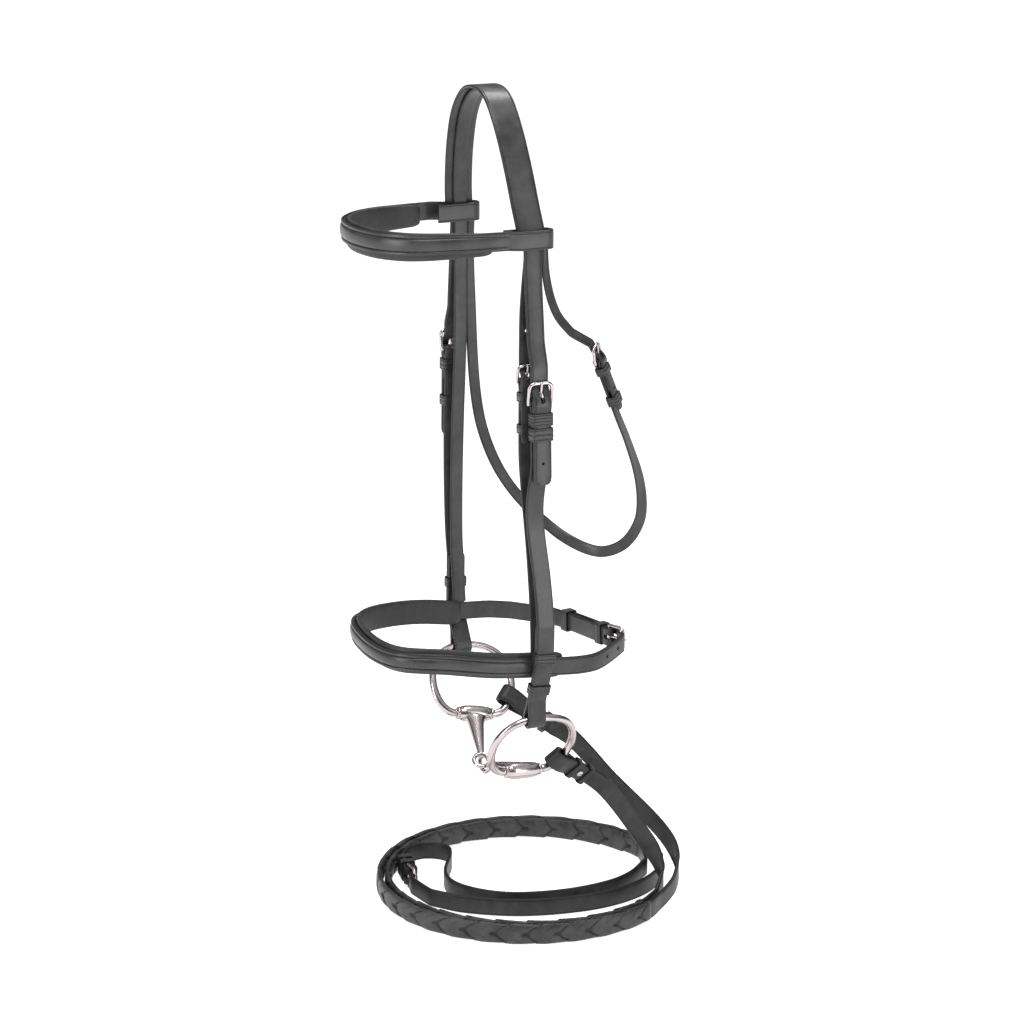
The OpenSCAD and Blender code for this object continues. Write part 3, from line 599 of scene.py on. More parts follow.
def rein_frame(ring, seat):
    return make_frame(ring[0] + ring_dir(ring, seat), ring_dir(ring, (0.83, -0.56)),
                      ring_dir(ring, (0.56, 0.83)))


NEAR_REIN_AT = rein_frame(NEAR_RING, (31.8, -54))
FAR_REIN_AT = rein_frame(FAR_RING, (34.2, -48.5))
# Distances from the ring's wire: where the free rein begins, and the loop's keepers and stud
REIN_START, REIN_KEEPERS_AT, REIN_STUD_AT = 47, (19, 36), 30

# ---------------------------------------------------------------- reins
COIL_MID, COIL_Z, LACE_FROM, LACE_TO = (-8, 42), -703, 30, -260
NEAR_COIL_R, FAR_COIL_R = 123.5, 131


def coil_turn(r, steps=24):
    a = np.radians(np.linspace(LACE_FROM, LACE_TO, steps + 1))
    return np.stack([COIL_MID[0] + r * np.cos(a), COIL_MID[1] + r * np.sin(a), np.full(len(a), COIL_Z)], 1)


NEAR_FALL = [[49, 90, -606], [47, 107, -627], [46, 122, -648], [50, 137, -672], [64, 140, -692],
             [83, 124, -703]]
FAR_FALL = [[-31, 94, -585], [-19, 108, -602], [-6, 120, -619], [10, 134, -636], [27, 147, -652],
            [44, 157, -669], [58, 158, -686], [74, 146, -698], [91, 124, -703]]
NEAR_BACK = at_height(COIL_Z, (8, 152), (30, 130), (45, 102), (50, 64), (45, 28), (33, 0), (12, -20),
                      (-12, -29), (-38, -24), (-66, -8), (-86, 0), (-99, -6))
NEAR_BACK += [[-103, -20, -702], [-97, -36, -701]]
FAR_BACK = at_height(COIL_Z, (4, 169), (34, 152), (56, 124), (67, 88), (67, 54), (60, 20), (47, -9))
FAR_BACK += [[27, -39, -702], [4, -57, -701]]


def rein_piece(name, f, side, route, buckle_end, buckle_cut, tip):
    """A rein from its loop's end: the fall, the coil's turn, the way back and the buckle's end."""
    fall, coil_r, back = route
    start = in_frame(f, [side * (REIN_T / 2 + 0.15), 0, REIN_START])
    points = joined(smooth(joined(start, fall), 2), coil_turn(coil_r), smooth(back, 2),
                    path_in(REIN_AT, buckle_end))
    run = Run(points, UP, 1.5, 1.2)
    return run, piece(name, strap(run, tipped(run, CHEEK_W, end=tip), REIN_T), REIN,
                      cutters=[buckle_cut(Solid(), REIN_AT, REIN_BUCKLE)])


near_rein_run, near_rein = rein_piece("near_rein", NEAR_REIN_AT, 1, (NEAR_FALL, NEAR_COIL_R, NEAR_BACK),
                                      fold_path(REIN_BUCKLE, 28, 22), fold_way, 0)
far_rein_run, far_rein = rein_piece("far_rein", FAR_REIN_AT, -1, (FAR_FALL, FAR_COIL_R, FAR_BACK),
                                    billet_path(REIN_BUCKLE, 10, 33), billet_way, 6)


# The lacing's repeat along the rein, how far its arrowheads lean, and half its width and thickness
LACE_PITCH, LACE_LEAN, LACE_HALF_W, LACE_HALF_T = 27.0, 10.5, 8.9, 2.05


def lacing(name, r, run):
    """Thong laced round the rein: it comes out of short slots on the middle line and laps over
    each edge as a row of arrowheads, so the edges are scalloped."""
    first, last = run.where(coil_turn(r)[0]), run.where(coil_turn(r)[-1])
    line = Run(run.p[(run.arc >= first - 1e-6) & (run.arc <= last + 1e-6)], UP, 0.75, 0.5)
    pitch = LACE_PITCH
    y, s = circle(88)
    x = np.sign(s) * np.clip(1 - np.abs(y) ** 3.6, 0, 1) ** 0.4
    arc = line.arc[:, None]
    v = np.abs(y)[None]
    round_edge = smoothstep(v, 0.55, 1.0)
    # u is the place within one repeat; a groove lies where two lap, a finer one inside each lap
    u = ((arc + LACE_LEAN * v + 3.0 * round_edge * np.sign(x)[None]) / pitch + 0.37) % 1
    groove = np.exp(-(np.minimum(u, 1 - u) * pitch / 1.1) ** 2)
    groove2 = np.exp(-(np.abs(u - 0.52) * pitch / 0.7) ** 2) * smoothstep(v, 0.15, 0.4)
    swell = np.sqrt(np.clip(1 - (2 * u - 1) ** 2, 0, 1)) * 0.55 + 0.6 * (1 - u)
    slot_u = (arc / pitch + 0.37) % 1
    slot = (np.exp(-((np.minimum(slot_u, 1 - slot_u) * pitch) / 3.6) ** 4)
            * np.exp(-((v * 9.5) / 1.5) ** 2))
    height = swell - 1.2 * groove - 0.4 * groove2 - 1.3 * slot
    scallop = 1.3 * (u - 0.5) * round_edge - 1.1 * groove * round_edge
    ends = smoothstep(line.from_ends, 0, 4)[:, None]
    half_w = (LACE_HALF_W + scallop) * (0.93 + 0.07 * ends)
    half_t = np.clip(LACE_HALF_T + height * (0.3 + 0.7 * ends) - 0.25 * (1 - ends), 1.62, 2.95)
    # Painted shade: the grooves where the laps meet, the finer grooves and the slots are darkened through
    # the edge attribute.
    dark = np.clip(1.2 * groove + 0.6 * groove2 + 1.6 * slot, 0, 1)
    solid = Solid().grid(line.rings(x[None] * half_t, y[None] * half_w), edge=dark)
    return piece(name, solid, LACE, slot="soft_leather", sharp=60)


near_lacing = lacing("near_rein_lacing", NEAR_COIL_R, near_rein_run)
far_lacing = lacing("far_rein_lacing", FAR_COIL_R, far_rein_run)


# ---------------------------------------------------------------- buckles, keepers and studs
def buckle(name, f, b, body):
    """The frame: a rounded, slightly arched loop of oval wire, and the straight heel bar."""
    side, r, corner = b[0] / 2 + 0.6 + b[2], b[2], 4.6 if b[0] > 12 else 3.6
    ring = ([(side, -1.0), (side, 2.5)]
            + arc_points(side - corner, b[3] - corner, corner, np.linspace(0, 90, 7))
            + arc_points(-side + corner, b[3] - corner, corner, np.linspace(90, 180, 7))
            + [(-side, 2.5), (-side, -1.0)])
    low, high = heel_x(b), toe_x(b)
    points = []
    for y, z in ring:
        arch = 0.5 * float(smoothstep(z, b[3] - 3, b[3])) * (1 - (y / side) ** 2)
        points.append((low + (high - low) * float(smoothstep(z, 0, b[3] * 0.8)) + arch, y, z))
    run = Run(in_frame(f, points), f[1], 0.7, 0.8)
    swell = 0.9 + 0.1 * smoothstep(run.from_ends, 0, 3)
    solid = Solid()
    wire(solid, run, r * 1.02 * swell, r * 1.0 * swell, 18)
    for y in (-side, side):
        cap = np.array([in_frame(f, [low, y, -0.9]), f[1], -f[2], -f[3]])
        dome = [(max(r * 0.9 * math.cos(a), 0.02), 0.6 * (r * 0.9) * math.sin(a))
                for a in np.linspace(0, math.pi / 2, 5)]
        lathe(solid, cap, [(r * 0.9, -0.4)] + dome, 18)
    bar = np.array([in_frame(f, [low, -side, 0]), f[1], f[3], f[2]])
    lathe(solid, bar, [(r - 0.15, 0), (r - 0.15, 2 * side)], 24)
    return piece(name, solid, STEEL, body, "steel")


def tongue(name, f, b, body):
    """The tongue: an eye round the heel bar and a tapered prong that dips over the toe bar."""
    tr, r, tip, foot = tongue_r(b), b[2], tongue_tip(b), np.array([heel_x(b), 0.0])
    solid = Solid()
    a = np.linspace(0, 2 * math.pi, 33)[:-1]
    major, half = r + 0.5, 1.45
    section = [(0.42, -half * 0.8), (0.42, half * 0.8), (0.15, half), (-0.42, half), (-0.42, -half),
               (0.15, -half)]
    rings = []
    for k in a:
        cx, cz = major * math.cos(k), major * math.sin(k)
        out = np.array([cx, cz]) / major
        rings.append(in_frame(f, [[foot[0] + cx + out[0] * o, y, cz + out[1] * o] for o, y in section]))
    solid.grid(rings, closed=True)
    go = (tip - foot) / np.linalg.norm(tip - foot)
    reach = np.linalg.norm(tip - foot)
    line = []
    for u in np.linspace(0, 1, 14):
        along = (r + 0.3) * (1 - u) + (reach - 0.2) * u
        lift = 0.35 * math.sin(math.pi * u) - 0.45 * max(0.0, u - 0.86) / 0.14
        q = foot + go * along + np.array([go[1], -go[0]]) * lift
        line.append((q[0], 0, q[1]))
    run = Run(in_frame(f, line), f[2], 0.5, 0.5)
    u = run.arc / run.length
    radius = tr * (1.05 - 0.2 * u) * np.sqrt(np.clip(1 - np.clip((u - 0.93) / 0.07, 0, 0.97) ** 2, 0.05, 1))
    wire(solid, run, radius * 0.92, radius * (1.12 - 0.1 * u), 16)
    return piece(name, solid, STEEL, body, "steel")


def keeper_band(solid, f, w, low, h, x_in, x_out, lines):
    """A leather keeper: a band bent round the layers, with embossed lines round it."""
    hx, hy = (x_out - x_in) / 2 + FIT_GAP + KEEPER_WALL / 2, w / 2 + FIT_GAP + KEEPER_WALL / 2
    middle, corner = (x_in + x_out) / 2, 1.5
    outline, normals = [], []
    for sx, sy, a0 in ((1, 1, 0), (-1, 1, 90), (-1, -1, 180), (1, -1, 270)):
        for a in np.linspace(a0, a0 + 90, 6):
            c, s = math.cos(math.radians(a)), math.sin(math.radians(a))
            outline.append((middle + sx * (hx - corner) + corner * c, sy * (hy - corner) + corner * s))
            normals.append((c, s))
    outline, normals = np.array(outline), np.array(normals)
    more, more_n = [], []
    for i in range(len(outline)):
        j = (i + 1) % len(outline)
        count = max(1, int(np.linalg.norm(outline[j] - outline[i]) / 1.2))
        for k in range(count):
            more.append(outline[i] + (outline[j] - outline[i]) * k / count)
            more_n.append(normals[i] + (normals[j] - normals[i]) * k / count)
    outline, normals = np.array(more), unit(np.array(more_n))
    half = KEEPER_WALL / 2
    section = [(0, -half * 0.5), (0.05, half * 0.35), (0.3, half * 0.85), (0.7, half)]
    # The darkening along the section: dye on the band's edges, painted shade in each pressed line, and a
    # darker inner face.
    edge_dye_and_painted_shade = [1, 1, 0.7, 0.2]
    for mark in np.linspace(1.5, h - 1.5, lines):
        section += [(mark - 0.4, half), (mark, half - 0.32), (mark + 0.4, half)]
        edge_dye_and_painted_shade += [0.1, 1, 0.1]
    section += [(h - 0.7, half), (h - 0.3, half * 0.85), (h - 0.05, half * 0.35), (h, -half * 0.5),
                (h - 0.3, -half), (0.3, -half)]
    edge_dye_and_painted_shade += [0.2, 0.7, 1, 1, 0.6, 0.6]
    section = np.array(section)
    order = np.argsort(section[:-2, 0], kind="stable")
    section[:-2], edge_dye_and_painted_shade = section[:-2][order], list(np.array(edge_dye_and_painted_shade)[:-2][order]) + edge_dye_and_painted_shade[-2:]
    rings = []
    for q, n in zip(outline, normals):
        flat = np.stack([q[0] + n[0] * section[:, 1], q[1] + n[1] * section[:, 1], low + section[:, 0]], 1)
        rings.append(in_frame(f, flat))
    return solid.grid(rings, closed=True, edge=np.array(edge_dye_and_painted_shade)[None])


def keeper(name, f, b, body, low, h, lines):
    solid = keeper_band(Solid(), f, b[0], low, h, -b[1] / 2, 2 * layer(b) + b[1] / 2, lines)
    return piece(name, solid, REIN if "rein" in name else BRIDLE, body)


# A keeper is where it begins along its buckle, how long it is, and how many lines are pressed in it.
for part, f, b, fixed, running in (
        ("near_cheek", NEAR_CHEEK_AT, CHEEK_BUCKLE, (-18.2, 10.6, 4), (-31, 11, 3)),
        ("far_cheek", FAR_CHEEK_AT, CHEEK_BUCKLE, (-18.2, 10, 3), (-50, 9, 3)),
        ("headstrap", HEADSTRAP_AT, HEAD_BUCKLE, (-17, 8, 2), (-44, 8, 2)),
        ("throatlash", THROAT_AT, THROAT_BUCKLE, (-13, 7, 2), (-43, 9, 3)),
        ("chin", CHIN_AT, CHEEK_BUCKLE, (-17, 8.5, 2), (-69, 9, 3)),
        ("rein", REIN_AT, REIN_BUCKLE, (-17, 7, 2), (-29, 7, 2))):
    buckle(part + "_buckle", f, b, "strapwork")
    tongue(part + "_tongue", f, b, part + "_tongue")
    keeper(part + "_fixed_keeper", f, b, "strapwork", *fixed)
    keeper(part + "_running_keeper", f, b, part + "_running_keeper", *running)


def stud(name, f, t, body):
    """A stud: neck through the returned layer, and a round head on the inner side."""
    o = in_frame(f, [0.1 - FIT_GAP / 2, 0, 0])
    turned = np.array([o, f[3], f[2], -f[1]])
    profile = [(0.4, -0.05), (1.5, 0), (1.5, t + 0.3), (2.6, t + 0.32), (3.0, t + 0.7)]
    profile += [(max(3.0 * math.cos(a), 0.05), t + 0.7 + 1.2 * math.sin(a))
                for a in np.linspace(0.2, math.pi / 2, 7)]
    return piece(name, lathe(Solid(), turned, profile, 32), STEEL, body, "steel")


# ---------------------------------------------------------------- headpiece and straps over the poll
crown_rise = [[84, 8, -198], [80, 8, -163], [77.5, 8, -138], [75.5, 8, -113], [70, 5, -88],
              [59, 2, -53], [43.5, 0, -22], [23, 0, -2], [0, 0, 3.2]]
crown_arch = smooth(mirrored(crown_rise), 3)
near_billet = path_in(NEAR_CHEEK_AT, billet_path(CHEEK_BUCKLE, 14, 68))[::-1]
far_billet = path_in(FAR_CHEEK_AT, billet_path(CHEEK_BUCKLE, 8, 78))
head_run = Run(joined(near_billet, crown_arch, far_billet), AFT, 1.3, 1.4)
wide_from, wide_to = head_run.where(crown_arch[9]), head_run.where(crown_arch[-10])
head_w = CHEEK_W + (CROWN_W - CHEEK_W) * (smoothstep(head_run.arc, wide_from - 1, wide_from + 9)
                                          * (1 - smoothstep(head_run.arc, wide_to - 9, wide_to + 1)))
holes = Solid()
HOLE_PITCH = 18.3


def hole(solid, run, point, r=1.7):
    """A punched hole straight through a strap, nearest to the point."""
    p, t, n, s = run.at(np.array([run.where(point)]))
    return peg(solid, p[0], n[0], r, 6, 6)


def tail_point(f, z):
    """A point on the billet's tail past a buckle of the cheek straps' size."""
    return in_frame(f, [2 * layer(CHEEK_BUCKLE), 0, z])


for k in range(3):
    hole(holes, head_run, [-79, 8, -161 - HOLE_PITCH * k], 1.5)
hole(holes, head_run, tail_point(NEAR_CHEEK_AT, -50), 1.3)
for z in (-30, -64):
    hole(holes, head_run, tail_point(FAR_CHEEK_AT, z))
billet_way(holes, NEAR_CHEEK_AT, CHEEK_BUCKLE)
billet_way(holes, FAR_CHEEK_AT, CHEEK_BUCKLE)
piece("headpiece", strap(head_run, tipped(head_run, head_w, 7, 7), CHEEK_T), BRIDLE, cutters=[holes])

drop = CHEEK_T / 2 + FIT_GAP + LIGHT_T / 2
arch_run = Run(crown_arch, AFT, 1.0, 0.5)
p_in, _, n_in, _ = arch_run.at(np.array([arch_run.where(q) for q in crown_arch[8:-8]]))
headstrap_far = smooth([[-76, 9, -163], [-77, 9, -228], [-80, 8, -288], [-84, 8, -348], [-85, 8, -400],
                        [-84, 9, -438], [-83, 10, -464]], 2)
headstrap_run = Run(joined(path_in(HEADSTRAP_AT, billet_path(HEAD_BUCKLE, 12, 52))[::-1], [74, 4, -168],
                           p_in - n_in * drop, headstrap_far), AFT, 1.4, 1.4)
holes = billet_way(Solid(), HEADSTRAP_AT, HEAD_BUCKLE)
for z in (-170, -188):
    hole(holes, headstrap_run, [75.5, 4, z], 1.3)
piece("noseband_headstrap", strap(headstrap_run, tipped(headstrap_run, HEAD_W, 6), LIGHT_T), BRIDLE,
      cutters=[holes])

throat_route = [[66, 98, -285], [57, 111, -310], [47, 123, -338], [36, 129, -370], [20, 123, -396],
                [0, 109, -408], [-20, 92, -403], [-38, 76, -390], [-50, 54, -366], [-60, 36, -336],
                [-70, 25, -298], [-78, 22, -253], [-82, 21.4, -198], [-81.5, 20.6, -148], [-76, 19.7, -115]]
throat_across = [[-30, 32, 16], [-24, 34, 14], [-10, 38, 8], [2, 38, -10], [14, 30, -30], [16, 10, -36],
                 [16, -10, -36], [14, -24, -30], [10, -34, -26], [6, -38, -20], [2, -40, -14],
                 [0, -40, -6], [0, -40, 0], [0, -40, 0], [0, -40, 0]]
throat_fold = path_in(THROAT_AT, fold_path(THROAT_BUCKLE, 52, 22))[::-1]
fold_across = np.tile(THROAT_AT[2], (len(throat_fold), 1))
throat_run = Run(joined(throat_fold, smooth(throat_route, 2)),
                 joined(fold_across, unit(smooth(throat_across, 2))), 1.4, 1.0)
throat_w = np.minimum(THROAT_W, SPLIT_W + 3.4 * smoothstep(throat_run.length - throat_run.arc, 0, 110))
piece("throatlash_strap", strap(throat_run, throat_w, LIGHT_T), BRIDLE,
      cutters=[fold_way(Solid(), THROAT_AT, THROAT_BUCKLE)])

throat_billet = path_in(THROAT_AT, billet_path(THROAT_BUCKLE, 3, 48))
billet_route = smooth([[74.5, 19.7, -114], [75, 20.4, -138], [75.5, 24.5, -161], [76, 32.5, -180],
                       [76.5, 45, -194]], 2)
billet_across = smooth([[0, -40, 0], [4, -38, -8], [12, -34, -18], [22, -30, -20], [28, -30, -16]], 2)
tail_across = np.tile(-THROAT_AT[2], (len(throat_billet), 1))
throat_billet_run = Run(joined(billet_route, throat_billet), joined(unit(billet_across), tail_across),
                        1.2, 1.2)
billet_w = SPLIT_W + 3.4 * smoothstep(throat_billet_run.arc, 0, 95)
holes = billet_way(Solid(), THROAT_AT, THROAT_BUCKLE)
p, t, n, s = throat_billet_run.at(np.array([throat_billet_run.length - 20]))
peg(holes, p[0], n[0], 1.4, 6, 6)
piece("throatlash_billet", strap(throat_billet_run, tipped(throat_billet_run, billet_w, 0, 6), LIGHT_T),
      BRIDLE, cutters=[holes])

# ---------------------------------------------------------------- browband
brow_side = [[82, -16, -112], [80, -36, -112], [76, -61, -112], [68, -84, -112.5], [54, -101, -113],
             [32, -114, -113], [0, -119, -113]]
brow_loop = at_height(-113, (68.6, -14), (68.6, 19.5), (70.2, 23.5), (76, 25.6), (81, 23.5),
                      (82.5, 19.5), (82.5, -2))
brow_route = smooth(mirrored(brow_side), 3)
brow_far_loop = np.array(brow_loop[::-1], float) * [-1, 1, 1]
brow_strap_run = Run(joined(brow_loop, brow_route, brow_far_loop), UP, 1.3, 1.6)
piece("browband_strap", strap(brow_strap_run, 16, 2.4), BRIDLE)


def bulge(run):
    return 1 - np.abs(2 * run.arc / run.length - 1) ** 3


STITCH_ROWS = 0.64  # how far out the two stitch rows are, as a share of half the front's width


def raised_solid(run, w, t, rows):
    """A raised front: a domed middle between two stitch rows, and a low roll outside each."""
    w, t = run.each(w), run.each(t)
    half = [0.2, 0.36, 0.48, 0.55, 0.60, 0.64, 0.68, 0.73, 0.79, 0.85, 0.91, 0.96, 0.985, 1]
    v = np.array([-u for u in half[::-1]] + [0] + half)
    groove = np.exp(-((np.abs(v) - rows) / 0.045) ** 2)
    dome = np.sqrt(np.clip(1 - (v / rows) ** 2, 0, 1))
    roll = np.sin(math.pi * np.clip((np.abs(v) - rows) / (1.06 - rows), 0, 1)) ** 0.7
    front = (0.30 + 0.70 * dome + 0.30 * roll) * (np.abs(v) < 0.999) - 0.14 * groove
    y = np.concatenate([v, v[-2:0:-1]])[None] * w / 2
    x = np.concatenate([front, np.zeros(len(v) - 2)])[None] * t - t / 2
    # Darkening: dye on the outer edges, painted shade in the stitch grooves, and the dark colour over the
    # whole back.
    edge_dye_and_painted_shade = np.concatenate([np.clip(groove * 0.7 + (np.abs(v) > 0.95), 0, 1), np.ones(len(v) - 2)])
    return Solid().grid(run.rings(x, y), edge=edge_dye_and_painted_shade[None])


def stitched_front(band, run, w, t):
    """The raised front of the browband or the noseband, and its two rows of stitches."""
    piece(band + "_raised_front", raised_solid(run, w, t, STITCH_ROWS), RAISED)
    thread = Solid()
    for side in (-1, 1):
        stitch_row(thread, run, 4, run.length - 4,
                   lambda a: side * STITCH_ROWS * np.interp(a, run.arc, w) / 2,
                   lambda a: 0.30 * np.interp(a, run.arc, t) - np.interp(a, run.arc, t) / 2)
    place(thread.mesh(band + "_stitches"), THREAD, "strapwork", "bridle_leather")


brow_run = Run(brow_route, UP, 1.0, 2.0)
front_run = brow_run.moved(1.2 + RAISED_T / 2)
front_w = 13 + 4 * bulge(brow_run)
brow_end = smoothstep(front_run.from_ends, 0, 16)
front_t = RAISED_T * (0.4 + 0.6 * bulge(brow_run)) * 1.12 * (0.35 + 0.65 * brow_end)
stitched_front("browband", front_run, front_w, front_t)


def pad_piece(name, run, w, t, puff, dip):
    """A padded lining: a fat roll with soft puckers where it is sewn; dip moves it across the band."""
    c, s = circle(40)
    pucker = 0.16 * np.sin(run.arc * 2 * math.pi / 7.5)[:, None] * (np.abs(c) ** 2)[None]
    close = np.sqrt(np.clip(1 - (1 - np.clip(run.from_ends / 9, 0, 1)) ** 2, 0.02, 1))[:, None]
    y = (np.sign(c) * np.abs(c) ** 0.72)[None] * (run.each(w) / 2 + puff) * (0.7 + 0.3 * close)
    x = (np.sign(s) * np.abs(s) ** 0.62)[None] * (t / 2 + pucker) * close
    thing = piece(name, Solid().grid(run.rings(x, y + dip)), SOFT, slot="soft_leather", sharp=60)
    return thing


pad_line = Run(brow_route[2:-2], UP, 1.0, 2.0)
pad_w = 16 + 6 * bulge(pad_line)
pad_piece("browband_padding", pad_line.moved(-(1.4 + PAD_T / 2)), pad_w, PAD_T, 1.0, -2.4)

# ---------------------------------------------------------------- noseband
nose_near = [[64, 94, -475.5], [74, 79, -478], [81, 64, -479.5], [85, 44, -478.5], [86.5, 22, -476],
             [86, 0, -474], [84.5, -26, -471.5], [82.5, -48, -468], [78.5, -70, -464.5], [72, -90, -463],
             [61, -104, -463], [45, -112, -463], [24, -115.5, -462.5], [0, -115, -462]]
nose_far = [[-24, -112, -461], [-45, -104, -461], [-61, -89, -462], [-73, -69, -464], [-80, -46, -466],
            [-84, -23, -469], [-86, 0, -473], [-86, 20, -474], [-80, 38, -473.5], [-66, 55, -473]]
nose_middle = smooth(joined(nose_near, nose_far), 2)
chin_billet = path_in(CHIN_AT, billet_path(CHEEK_BUCKLE, 5, 76))[::-1]
chin_fold = path_in(CHIN_AT, fold_path(CHEEK_BUCKLE, 78, 26))
nose_run = Run(joined(chin_billet, nose_middle, chin_fold), UP, 1.3, 1.4)
holes = billet_way(Solid(), CHIN_AT, CHEEK_BUCKLE)
for point in (tail_point(CHIN_AT, -30), tail_point(CHIN_AT, -50), nose_middle[0], nose_middle[2]):
    hole(holes, nose_run, point)
# The two slots overlap, so they are cut one after the other.
piece("noseband_strap", strap(nose_run, tipped(nose_run, CHEEK_W, 7), CHEEK_T), BRIDLE,
      cutters=[fold_way(Solid(), CHIN_AT, CHEEK_BUCKLE), holes])

nose_pad_line = Run(nose_middle[7:42], UP, 1.0, 2.0)
pad_piece("noseband_padding", nose_pad_line.moved(-(CHEEK_T / 2 + 0.2 + PAD_T / 2)),
          21.0, PAD_T, 0.6, 0.3)
nose_front_line = Run(nose_middle[9:40], UP, 1.0, 2.0)
nose_front_run = nose_front_line.moved(CHEEK_T / 2 + RAISED_T / 2)
nose_end = nose_front_run.from_ends
nose_t = RAISED_T * (0.4 + 0.6 * smoothstep(nose_end, 0, 55)) * 1.05
nose_w = 14.2 * (0.8 + 0.2 * smoothstep(nose_end, 0, 12))
stitched_front("noseband", nose_front_run, nose_w, nose_t)

nose_cheek_fold = path_in(HEADSTRAP_AT, fold_path(HEAD_BUCKLE, 62, 24))[::-1]
nose_cheek_route = smooth([[77, 4, -328], [79, 7, -368], [81, 9, -408], [82, 10, -438], [83, 10, -466]], 2)
nose_cheek_run = Run(joined(nose_cheek_fold, nose_cheek_route), AFT, 1.4, 1.0)
piece("noseband_cheek_strap", strap(nose_cheek_run, HEAD_W, LIGHT_T), BRIDLE,
      cutters=[fold_way(Solid(), HEADSTRAP_AT, HEAD_BUCKLE)])


# ---------------------------------------------------------------- cheekpieces and their loops
def loop_turn(t, room):
    """The path of a strap of thickness t round a ring's wire; room is the slack left in the loop."""
    r = RING_R + 0.35 + t / 2
    return [(r, room)] + arc_points(0, -room, r, range(0, -181, -30)) + [(-r, room)]


LAP_X = layer(CHEEK_BUCKLE) / 2


def cheekpiece(side, buckle_at, route, lap_points, ring, up, across, lift):
    """A cheek strap, folded round its buckle and its ring, with the ring fold's keepers and stud."""
    loop_at = make_frame(ring[0] + ring_dir(ring, (-8, -0.5)), up, across)
    lap = smooth(joined(lap_points, in_frame(loop_at, [0, 0, lift])), 3)
    tangent = unit(np.gradient(lap, axis=0))
    face = unit(np.cross(-across, tangent))
    outer, inner = lap + face * LAP_X, lap - face * LAP_X
    fold = path_in(buckle_at, fold_path(CHEEK_BUCKLE, 44, 26))[::-1]
    middle = smooth(joined(fold[-1], route, outer[0]), 3)
    run = Run(joined(fold, middle[1:-1], outer, path_in(loop_at, loop_turn(CHEEK_T, 1.2)), inner[::-1]),
              across, 1.3, 1.0)
    stud_at, *keepers_at = (make_frame(lap[i], -tangent[i], across) for i in (2, 4, 9))
    openings = peg(fold_way(Solid(), buckle_at, CHEEK_BUCKLE), stud_at[0], -stud_at[1], 2.0, 0, 6)
    piece(side + "_cheekpiece", strap(run, tipped(run, CHEEK_W, 0, 5, 0.75), CHEEK_T), BRIDLE,
          cutters=[openings])
    bands = Solid()
    for f in keepers_at:
        keeper_band(bands, f, CHEEK_W, -4.5, 9, -CHEEK_T - FIT_GAP, CHEEK_T + FIT_GAP, 3)
    piece(side + "_bit_loop_keepers", bands, BRIDLE)
    stud(side + "_cheek_stud", stud_at, CHEEK_T, "strapwork")


cheekpiece("near", NEAR_CHEEK_AT,
           [[88.5, 9, -304], [87, 6, -332], [87, 7, -357], [91, 10, -391], [95, 11, -416]],
           [[97, 11, -436], [98, 10, -458], [97, 8.5, -476], [93.5, 7, -492]], NEAR_RING,
           [10, 0, 44], AFT, 18)
cheekpiece("far", FAR_CHEEK_AT, [[-91, 7, -298], [-91.5, 7, -348], [-92, 8, -393]],
           [[-93.5, 11, -422], [-96.5, 12, -443], [-97.5, 12, -460], [-95.5, 11.5, -475]], FAR_RING,
           [-12, 0, 40], FRONT, 16)

# ---------------------------------------------------------------- bit
ring_side = [(19, -62), (25.5, -59.5), (31.5, -53), (35.5, -44), (37, -34), (35.8, -23.5), (31.5, -13.8),
             (24, -6), (13, -1.3), (0, 0)]
ring_outline = np.array(ring_side + [(-y, z) for y, z in ring_side[-2::-1]]) * [RING_W / 74, RING_DROP / 62]
MIDDLE_JOINT = np.array([-0.5, -4, -587.0])
BARREL_LEN = 34


